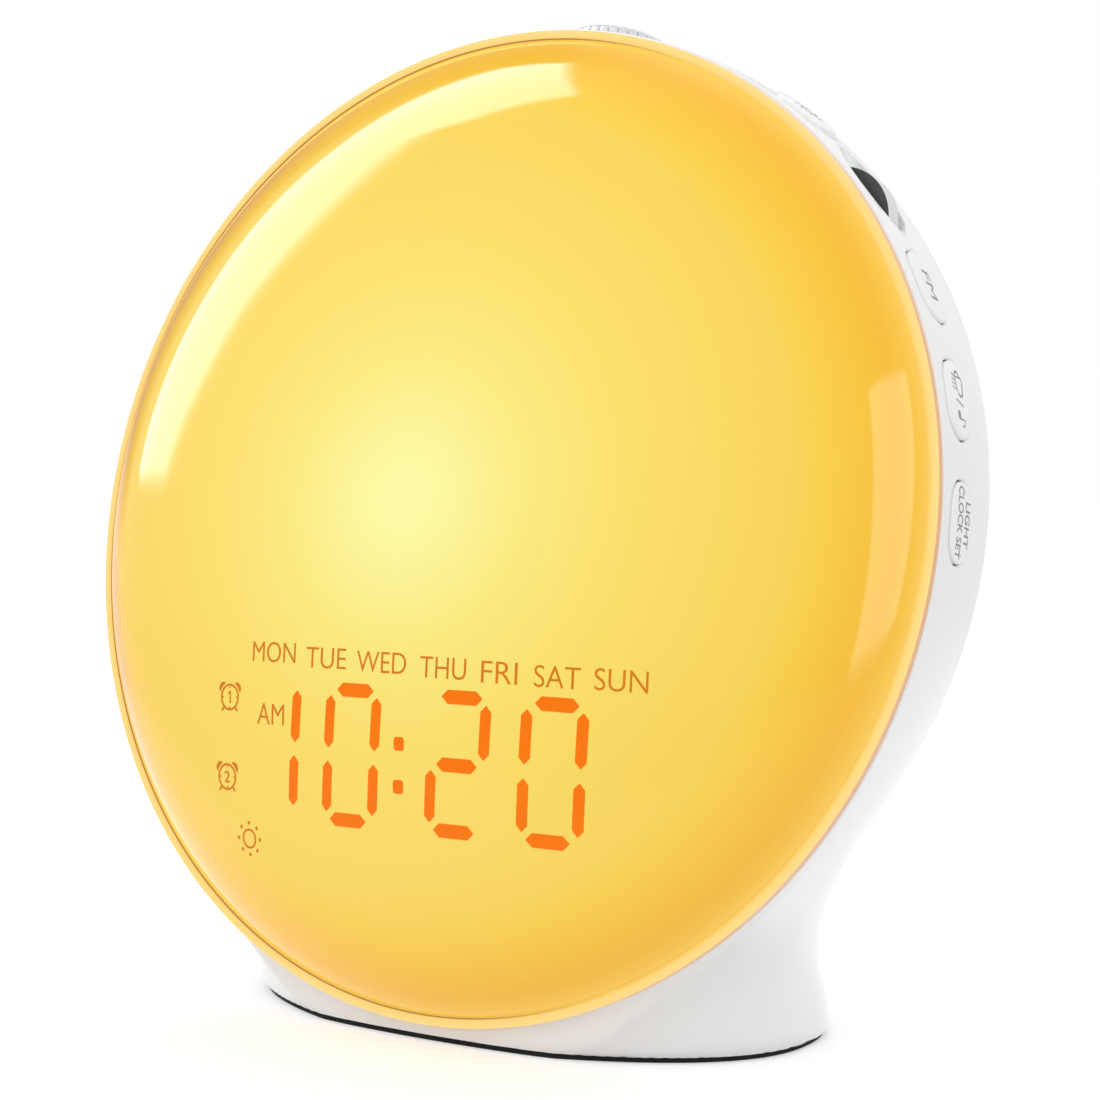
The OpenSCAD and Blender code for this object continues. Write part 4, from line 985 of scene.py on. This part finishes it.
def legendShapes():
    words = [("MON", -30.95, -20.75, -27.75), ("TUE", -18.25, -9.45, -28.3), ("WED", -7.1, 3.0, -28.5),
             ("THU", 5.8, 14.6, -28.8), ("FRI", 17.45, 24.0, -28.95), ("SAT", 27.0, 34.95, -29.05),
             ("SUN", 37.3, 46.1, -28.9)]
    words = [(text, (left, base, right, base + 3.4)) for text, left, right, base in words]
    shapes = [wordShape(*word, -0.008) for word in words + [("AM", (-29.35, -38.15, -23.0, -34.65))]]
    shapes += bellShapes(-36.4, -34.0, "1", 0.9) + bellShapes(-36.9, -47.5, "2", 0.9)
    x, y = -31.6, -57.55
    shapes.append(strip(oval(x, y, 1.52, 1.52, 32), 0.34, True))
    return shapes + [disc(x + 2.65 * math.cos(q), y + 2.65 * math.sin(q), 0.29, 0.33, 10)
                     for q in np.radians(range(0, 360, 45))]


# heights over the surface of a film's outer and inner face
film = {"lens": (0.05, -0.07), "key": (0.02, -0.04)}
marks("timeDigits", digitShapes(), onLens, film["lens"], "orangeLight", "housing", "digit_orange")
marks("dayLegends", legendShapes(), onLens, film["lens"], "amberLight", "housing", "digit_orange")


# Key legends in grey ink. u runs down the rim, v towards the back, in mm.
def keyLegends():
    drawn = {"dimmer_key": [wordShape("LIGHT", (-3.4, 0.75, 3.7, 2.95), 0.015),
                            wordShape("CLOCK SET", (-5.5, -2.35, 5.6, -0.15), 0.015),
                            strip([(-5.0, 0.3), (5.2, 0.3)], 0.2)],
             "radio_key": [wordShape("FM", (-2.6, -1.2, 2.6, 1.3))],
             "colour_key": [strip(oval(0, 0.1, 1.5, 1.5, 30), 0.3, True)]
             + rays(0, 0.1, 2.1, 2.8, 0.3, range(0, 360, 45)),
             "alarm_one_key": bellShapes(0, 0.1, "1"), "alarm_two_key": bellShapes(0, 0.1, "2"),
             "sleep_key": [wordShape("SLEEP", (-4.4, -1.1, 4.4, 1.1), 0.015)]}
    cloud = arc(-3.6, 0.35, 0.95, 90, 270, 11) + arc(-2.9, 1.2, 1.0, 150, 50, 9) \
        + arc(-1.6, 0.9, 1.0, 100, -60, 11)
    note = [disc(2.6, -0.75, 0.75, 0.55, 18), strip([(3.2, -0.6), (3.2, 1.6), (4.1, 1.1), (4.3, 0.4)], 0.3)]
    drawn["sound_key"] = [strip(cloud, 0.36), strip([(-3.8, -0.6), (-1.2, -0.35)], 0.36),
                          strip([(0.2, -1.3), (0.9, 1.5)], 0.28)] + note \
        + [strip([(x, -0.9), (x - 0.25, -1.9)], 0.24) for x in (-3.6, -2.9, -2.2, -1.5)]
    return drawn


legends = keyLegends()
for name, (angle, board) in keyRing.items():
    # the left keys' marks are turned half round, so that they read upright as well
    half = -1 if angle > 90 else 1
    shapes = [(np.asarray(flat) * half, polygons) for flat, polygons in legends[name]]
    marks(name + "Legend", shapes, onKey(angle, name), film["key"], "greyInk", name, "white_key")
print("marks made")


# Back: perforated speaker cover, screws, softened copies of the moulded covers.
grille = {"radius": 22.0, "thick": 1.6, "rings": 5, "hole": 0.9, "chamfer": 0.22, "margin": 2.4, "round": 0.3}


def grilleTree():
    tree, (spots, outside, thick, hole, chamfer, bevel, surface) = newTree(
        "perforatedDisc", [("Spots", "Geometry"), ("Radius", "Float"), ("Thickness", "Float"),
                           ("Hole Radius", "Float"), ("Chamfer", "Float"), ("Edge", "Float"),
                           ("Surface", "Material")])
    add = partial(addNode, tree)
    place = add("GeometryNodeInputPosition")
    x, y, z = add("ShaderNodeSeparateXYZ", None, {"Vector": place}).outputs
    height = add("ShaderNodeMath", 'ABSOLUTE', {0: z})
    atMouth = add("ShaderNodeMath", 'GREATER_THAN', {0: height, 1: 2.0})
    inside = add("ShaderNodeMath", 'SUBTRACT', {0: 1.0, 1: atMouth})
    side = add("ShaderNodeMath", 'SIGN', {0: z})
    half = add("ShaderNodeMath", 'MULTIPLY', {0: thick, 1: 0.5})
    middle = add("ShaderNodeMath", 'MULTIPLY', {0: thick, 1: -0.5})

    def sleeve(sides, radius, cut, widen):
        # a tube through the plate, wider or narrower at both mouths
        tube = add("GeometryNodeMeshCylinder", {"fill_type": 'NONE'},
                   {"Vertices": sides, "Side Segments": 3, "Radius": 1.0, "Depth": 6.0})
        wide = add("ShaderNodeMath", 'MULTIPLY_ADD', {0: widen, 1: atMouth, 2: radius})
        short = add("ShaderNodeMath", 'MULTIPLY', {0: cut, 1: inside})
        deep = add("ShaderNodeMath", 'SUBTRACT', {0: half, 1: short})
        level = add("ShaderNodeMath", 'MULTIPLY_ADD', {0: side, 1: deep, 2: middle})
        across = add("ShaderNodeCombineXYZ", None, {"X": wide, "Y": wide})
        down = add("ShaderNodeCombineXYZ", None, {"Z": level})
        moved = add("ShaderNodeVectorMath", 'MULTIPLY_ADD', {0: place, 1: across, 2: down})
        return add("GeometryNodeSetPosition", None, {"Geometry": tube, "Position": moved})

    mouth = add("ShaderNodeMath", 'ADD', {0: hole, 1: chamfer})
    mouth = add("GeometryNodeCurvePrimitiveCircle", None, {"Resolution": 16, "Radius": mouth})
    mouths = add("GeometryNodeInstanceOnPoints", None, {"Points": spots, "Instance": mouth})
    mouths = add("GeometryNodeRealizeInstances", None, {"Geometry": mouths})
    edge = add("ShaderNodeMath", 'SUBTRACT', {0: outside, 1: bevel})
    edge = add("GeometryNodeCurvePrimitiveCircle", None, {"Resolution": 96, "Radius": edge})
    outlines = add("GeometryNodeJoinGeometry")
    for part in (mouths, edge):
        give(tree, outlines, {"Geometry": part})
    front = add("GeometryNodeFillCurve", None, {"Curve": outlines})
    down = add("ShaderNodeMath", 'MULTIPLY', {0: thick, 1: -1.0})
    down = add("ShaderNodeCombineXYZ", None, {"Z": down})
    rear = add("GeometryNodeTransform", None, {"Geometry": front, "Translation": down})
    rear = add("GeometryNodeFlipFaces", None, {"Mesh": rear})
    wall = add("GeometryNodeFlipFaces", None, {"Mesh": sleeve(16, hole, chamfer, chamfer)})
    walls = add("GeometryNodeInstanceOnPoints", None, {"Points": spots, "Instance": wall})
    narrow = add("ShaderNodeMath", 'MULTIPLY', {0: bevel, 1: -1.0})
    whole = add("GeometryNodeJoinGeometry")
    for part in (front, rear, walls, sleeve(96, outside, bevel, narrow)):
        give(tree, whole, {"Geometry": part})
    real = add("GeometryNodeRealizeInstances", None, {"Geometry": whole})
    merged = add("GeometryNodeMergeByDistance", None, {"Geometry": real, "Distance": 1e-3})
    return endTree(tree, merged, surface)


def grilleSpots():
    # a hole in the middle and rings of six, twelve, eighteen and so on
    step = (back["speakerR"] - grille["margin"]) / grille["rings"]
    rings = [oval(0, 0, k * step, k * step, 6 * k) for k in range(1, grille["rings"] + 1)]
    return [(x, y, 0) for x, y in np.concatenate([[(0, 0)]] + rings)]


def backSpot(x, y, s):
    return np.array([x, y, -s]), np.array([[0, 1.0, 0], [1, 0, 0], [0, 0, -1]])


grillePlate = runTree("speakerCover", grilleTree(), newMesh("speakerCover", grilleSpots()),
                      {"Radius": grille["radius"], "Thickness": grille["thick"],
                       "Hole Radius": grille["hole"], "Chamfer": grille["chamfer"], "Edge": grille["round"],
                       "Surface": materials["keyAbs"]})
grillePlate = tidy(laid(grillePlate, backSpot(*back["grille"])), 1e-7, False, 40)
done(grillePlate, "housing", "white_key", "speaker_grille")


# Screws: a turned head and shank with a cross cut in, one at each point of a mesh.
def screwTree():
    tree, (spots, profile, length, width, depth, top, surface) = newTree(
        "crossHeadScrews", [("Spots", "Geometry"), ("Profile", "Object"), ("Cross Length", "Float"),
                            ("Cross Width", "Float"), ("Cross Depth", "Float"), ("Top", "Float"),
                            ("Surface", "Material")])
    body = addNode(tree, "GeometryNodeObjectInfo", None, {"Object": profile}).outputs["Geometry"]
    size = addNode(tree, "ShaderNodeCombineXYZ", None, {"X": length, "Y": width, "Z": depth})
    blade = addNode(tree, "GeometryNodeMeshCube", None, {"Size": size})
    height = addNode(tree, "ShaderNodeCombineXYZ", None, {"Z": top})
    cut = addNode(tree, "GeometryNodeMeshBoolean", {"operation": 'DIFFERENCE', "solver": 'EXACT'},
                  {"Mesh 1": body})
    for turn in (0.0, math.pi / 2):
        part = addNode(tree, "GeometryNodeTransform", None,
                       {"Geometry": blade, "Translation": height, "Rotation": (0, 0, turn)})
        give(tree, cut, {"Mesh 2": part})
    put = addNode(tree, "GeometryNodeInstanceOnPoints", None, {"Points": spots, "Instance": cut})
    return endTree(tree, put, surface)


crossHeadScrews = screwTree()


def screws(name, spots, head, headH, shank, length, nodeName):
    # spots are x, y and s of the head's seat; the heads face backwards
    rows = [(0, -length), (shank * 0.6, -length), (shank, 0.8 - length), (shank, 0), (head, 0),
            (head, headH * 0.45)]
    rows += [(head * math.cos(q) ** 0.6, headH * (0.45 + 0.55 * math.sin(q)))
             for q in np.radians([20, 40, 58, 74])] + [(0, headH)]
    model = tidy(runTree("screwModel", turnedPart, profileMesh("screwProfile", rows),
                         {"Steps Round": 40, "Surface": materials["zincSteel"]}), 1e-5)
    piece = runTree(name, crossHeadScrews, newMesh(name, [(y, x, s) for x, y, s in spots]),
                    {"Profile": model, "Cross Length": head * 1.15, "Cross Width": head * 0.24,
                     "Cross Depth": headH * 1.3, "Top": headH, "Surface": materials["zincSteel"]})
    bpy.data.objects.remove(model)
    return done(tidy(laid(piece, backSpot(0, 0, 0)), 1e-8, False, 32), "housing", "steel", nodeName)


screws("housingScrews", wellSpots, 2.8, 2.0, 1.4, 6.4, "housing_screws")
doorX, doorY, doorS = back["door"]
screws("doorScrew", [(doorX, doorY - back["doorW"] / 2 + 3.4, doorS + 0.8)], 1.9, 0.8, 0.85, 2.6,
       "battery_screw")


def soft(name, node, material, width, body, slot, crease=30):
    # a copy of a moulded part with its hard edges rounded
    piece = edit(nodeCopy(name, node), lambda work: bmesh.ops.dissolve_limit(
        work, angle_limit=math.radians(1), verts=work.verts, edges=work.edges))
    bevel = piece.modifiers.new("edges", 'BEVEL')
    bevel.width, bevel.segments, bevel.limit_method = width / 1000, 2, 'ANGLE'
    bevel.angle_limit = math.radians(crease)
    settle(piece)
    return done(setMaterial(tidy(piece, 1e-8, False, 40), material), body, slot, node)


soft("batteryCover", "battery_door", "keyAbs", 0.18, "housing", "white_key")
soft("powerJack", "dc_jack", "blackNylon", 0.15, "housing", "black_plastic")
soft("usbPort", "usb_socket", "nickelPlate", 0.1, "housing", "nickel")


def padPiece():
    # its outline is the housing's own lower edge, a little smaller
    q = np.radians(np.arange(240) * 1.5)
    flat = np.column_stack([np.cos(q), np.sin(q), 0 * q])
    middle = toFace([[0, 0, face["pad"] / 1000]]) * depthFlip
    edge = flat[:, :2] * (castSkin(middle, (flat @ faceAxes.T) * depthFlip) - 0.2)[:, None]
    top = face["pad"]
    rings = [np.column_stack([edge * (1 - inset / (shell["footD"] / 2)), np.full(240, z)])
             for z, inset in ((0, 7.0), (0, 3.4), (0.35, 3.2), (0.35, 2.2), (0, 2.0), (0, 0.3), (0.08, 0.1),
                              (0.25, 0), (top - 0.1, 0), (top, 0.1), (top, 6.0))]
    return done(loft("footPad", rings, "padRubber", lambda points: points / 1000),
                "housing", "pad_rubber", "grip_pad")


padPiece()
print("back and foot made")


# Finishes of the solids that stay as they are
worn = {"base_cover": "greyAbs", "reflector_pan": "reflectorWhite", "lamp_board": "whiteMask",
        "lamp_leds": "phosphor", "display_box": "reflectorWhite", "display_segments": "orangeLight",
        "legend_windows": "amberLight", "speaker_cone": "paperCone", "speaker_magnet": "ferrite",
        "knob_plunger": "zincSteel", "base_screws": "zincSteel", "board_screws": "zincSteel",
        "coin_cell": "nickelPlate"}
for name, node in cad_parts.items():
    look = worn.get(name, "greenMask" if name.endswith("_board") else "blackNylon")
    for slot in node.material_slots:
        slot.material = materials[look]
print("finishes laid on", len(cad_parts), "nodes")


# Floor, light and camera
studio = {"floorR": 6.0, "floorPaint": "#DDDDDF", "floorGlow": 0.38, "glossNear": 0.8, "glossFar": 0.2,
          "worldOther": 1.0, "worldDim": 0.35,
          "keySize": (1.2, 1.2), "keyAt": (-0.15, -1.2, 1.6), "keyPower": 3.0,
          "leftGlow": 6.0, "cardGlow": 3.8, "leftTint": (0.85, 0.95, 1, 1), "cardTint": (0.7, 1, 0.95, 1)}
view = {"size": 1100, "lens": 74.35, "sensor": 36.0, "at": (0.224488, -0.33069, 0.09418),
        "way": (-0.55593, 0.83051, -0.03447)}
# Two bent light panels that only the gloss sees. A row crosses a highlight on the lens:
# its two ends as places in the view, and how far from the lens the panel is, in m.
leftPanel = [((585, 62), (590, 97), 2), ((563, 62), (576, 98), 2), ((502, 67), (537, 105), 2),
             ((443, 85), (473, 123), 2), ((326, 155), (355, 200), 2), ((206, 294), (249, 314), 2),
             ((152, 414), (187, 431), 2), ((139, 470), (174, 469), 2), ((140, 500), (165, 505), 2)]
rightPanel = [((895, 361), (901, 360), 0.2), ((867, 393), (908, 375), 0.2), ((871, 510), (916, 470), 0.2),
              ((865, 582), (911, 540), 0.19), ((850, 660), (897, 615), 0.17), ((836, 722), (838, 726), 0.12)]


def mirrored(place, reach):
    # from a place in the view to the lens, and from there along the mirrored ray
    eye, ahead = np.array(view["at"]), unit(view["way"])
    right = unit(np.cross(ahead, [0, 0, 1]))
    across, down = (np.array(place) / view["size"] - 0.5) * view["sensor"] / view["lens"]
    way = unit(ahead + across * right - down * np.cross(right, ahead))
    steps = toFace(eye + np.linspace(0.2, 0.6, 4001)[:, None] * way)
    radii = np.minimum(np.hypot(steps[:, 0], steps[:, 1]), domeFoot)
    hit = steps[np.argmax(steps[:, 2] < domeHeight(radii))][None]
    normal = (domeNormal(hit) @ faceAxes)[0]
    return Vector(toWorld(hit)[0] + reach * (way - 2 * (way @ normal) * normal))


def seenRays(tree):
    # 1 where the camera, a gloss or a clear part sees the surface, else 0
    path = addNode(tree, "ShaderNodeLightPath").outputs
    both = addNode(tree, "ShaderNodeMath", 'MAXIMUM', {0: path["Is Camera Ray"], 1: path["Is Glossy Ray"]})
    return addNode(tree, "ShaderNodeMath", 'MAXIMUM', {0: both, 1: path["Is Transmission Ray"]})


def floorPiece():
    # paper sweep: matt white, a trace of fibre
    material, tree, shader = newMaterial("paperSweep")
    place = addNode(tree, "ShaderNodeTexCoord").outputs["Object"]
    fibre = addNode(tree, "ShaderNodeTexNoise", None, {"Vector": place, "Scale": 900.0, "Detail": 2.0})
    relief = addNode(tree, "ShaderNodeBump", None, {"Height": fibre, "Strength": 0.02, "Distance": 0.0002})
    # a painted pool of light: where the gloss sees it, the floor glows brighter near the clock, so the lens's
    # lower rim shows a bright reflection
    away = addNode(tree, "ShaderNodeVectorMath", 'LENGTH', {0: place})
    inGloss = addNode(tree, "ShaderNodeMapRange", None,
                      {"Value": away, "From Min": 0.1, "From Max": 0.5,
                       "To Min": studio["glossNear"], "To Max": studio["glossFar"]})
    level = addNode(tree, "ShaderNodeMapRange", None,
                    {"Value": addNode(tree, "ShaderNodeLightPath").outputs["Is Glossy Ray"],
                     "To Min": studio["floorGlow"], "To Max": inGloss})
    glow = addNode(tree, "ShaderNodeMath", 'MULTIPLY', {0: seenRays(tree), 1: level})
    give(tree, shader, {"Normal": relief, "Emission Strength": glow, "Emission Color": (1, 1, 1, 1),
                        "Base Color": linear(studio["floorPaint"]), "Roughness": 0.95,
                        "Specular IOR Level": 0.1})
    outline, faces = disc(0, 0, studio["floorR"], studio["floorR"], 96)
    mesh = newMesh("sweep", [(x, y, 0) for x, y in outline], faces)
    mesh.materials.append(material)
    piece = newPiece("sweep", mesh)


floorPiece()
world = bpy.data.worlds.new("whiteRoom")
scene.world = world
world.use_nodes = True
skyTree = world.node_tree
sky = skyTree.nodes["Background"]
# what the gloss sees is dimmer behind the left side, above the horizon
skyWay = addNode(skyTree, "ShaderNodeTexCoord").outputs["Generated"]
x, y, z = addNode(skyTree, "ShaderNodeSeparateXYZ", None, {"Vector": skyWay}).outputs
behind = addNode(skyTree, "ShaderNodeMath", 'MULTIPLY_ADD', {0: x, 1: 0.087, 2: y})
inGloss = addNode(skyTree, "ShaderNodeLightPath").outputs["Is Glossy Ray"]
dim = within(skyTree, [(behind, 0.0, 0.15), (x, -0.2, -0.5), (z, 0.0, 0.1), (inGloss, 0.0, 1.0)])
seen = addNode(skyTree, "ShaderNodeMapRange", None,
               {"Value": dim, "To Min": 1.0, "To Max": studio["worldDim"]})
strength = addNode(skyTree, "ShaderNodeMapRange", None,
                   {"Value": seenRays(skyTree), "To Min": studio["worldOther"], "To Max": seen})
give(skyTree, sky, {"Strength": strength, "Color": (1, 1, 1, 1)})


def lamp(name, size, at, aim, power):
    light = bpy.data.lights.new(name, 'AREA')
    light.shape, light.size, light.size_y, light.energy = 'RECTANGLE', *size, power
    piece = newPiece(name, light)
    piece.location = at
    piece.rotation_euler = (Vector(aim) - Vector(at)).to_track_quat('-Z', 'Y').to_euler()
    piece.visible_camera = piece.visible_glossy = False


def glossPanel(name, rows, glow, tint, edge):
    # the glow fades over the edges, along both ends and both sides
    points, levels = [], []
    for k, (left, right, reach) in enumerate(rows):
        for share in (0, edge, 1 - edge, 1):
            points.append(mirrored(left, reach).lerp(mirrored(right, reach), share))
            levels.append(float(0 < share < 1 and 0 < k < len(rows) - 1))
    starts = [k * 4 + i for k in range(len(rows) - 1) for i in range(3)]
    mesh = newMesh(name, points, [(i, i + 1, i + 5, i + 4) for i in starts])
    mesh.attributes.new("level", 'FLOAT', 'POINT').data.foreach_set("value", levels)
    material, tree, shader = newMaterial(name)
    level = addNode(tree, "ShaderNodeAttribute", {"attribute_name": "level"}).outputs["Fac"]
    strength = addNode(tree, "ShaderNodeMath", 'MULTIPLY', {0: level, 1: glow})
    light = addNode(tree, "ShaderNodeEmission", None, {"Strength": strength, "Color": tint})
    clear = addNode(tree, "ShaderNodeBsdfTransparent")
    both = addNode(tree, "ShaderNodeMixShader", None, {"Fac": level, 1: clear, 2: light})
    give(tree, tree.nodes["Material Output"], {"Surface": both})
    mesh.materials.append(material)
    piece = newPiece(name, mesh)
    piece.visible_camera = piece.visible_diffuse = piece.visible_shadow = piece.visible_transmission = False


lamp("keyPanel", studio["keySize"], studio["keyAt"], (0, 0, 0.08), studio["keyPower"])
glossPanel("leftPanel", leftPanel, studio["leftGlow"], studio["leftTint"], 0.08)
glossPanel("rightPanel", rightPanel, studio["cardGlow"], studio["cardTint"], 0.05)

camera = bpy.data.cameras.new("view")
camera.lens, camera.sensor_width, camera.sensor_fit = view["lens"], view["sensor"], 'HORIZONTAL'
camera.clip_start, camera.clip_end = 0.01, 50.0
viewer = newPiece("view", camera)
viewer.location = view["at"]
viewer.rotation_euler = Vector(view["way"]).to_track_quat('-Z', 'Y').to_euler()
scene.camera = viewer
scene.view_settings.view_transform = 'Standard'

print("scene finished")
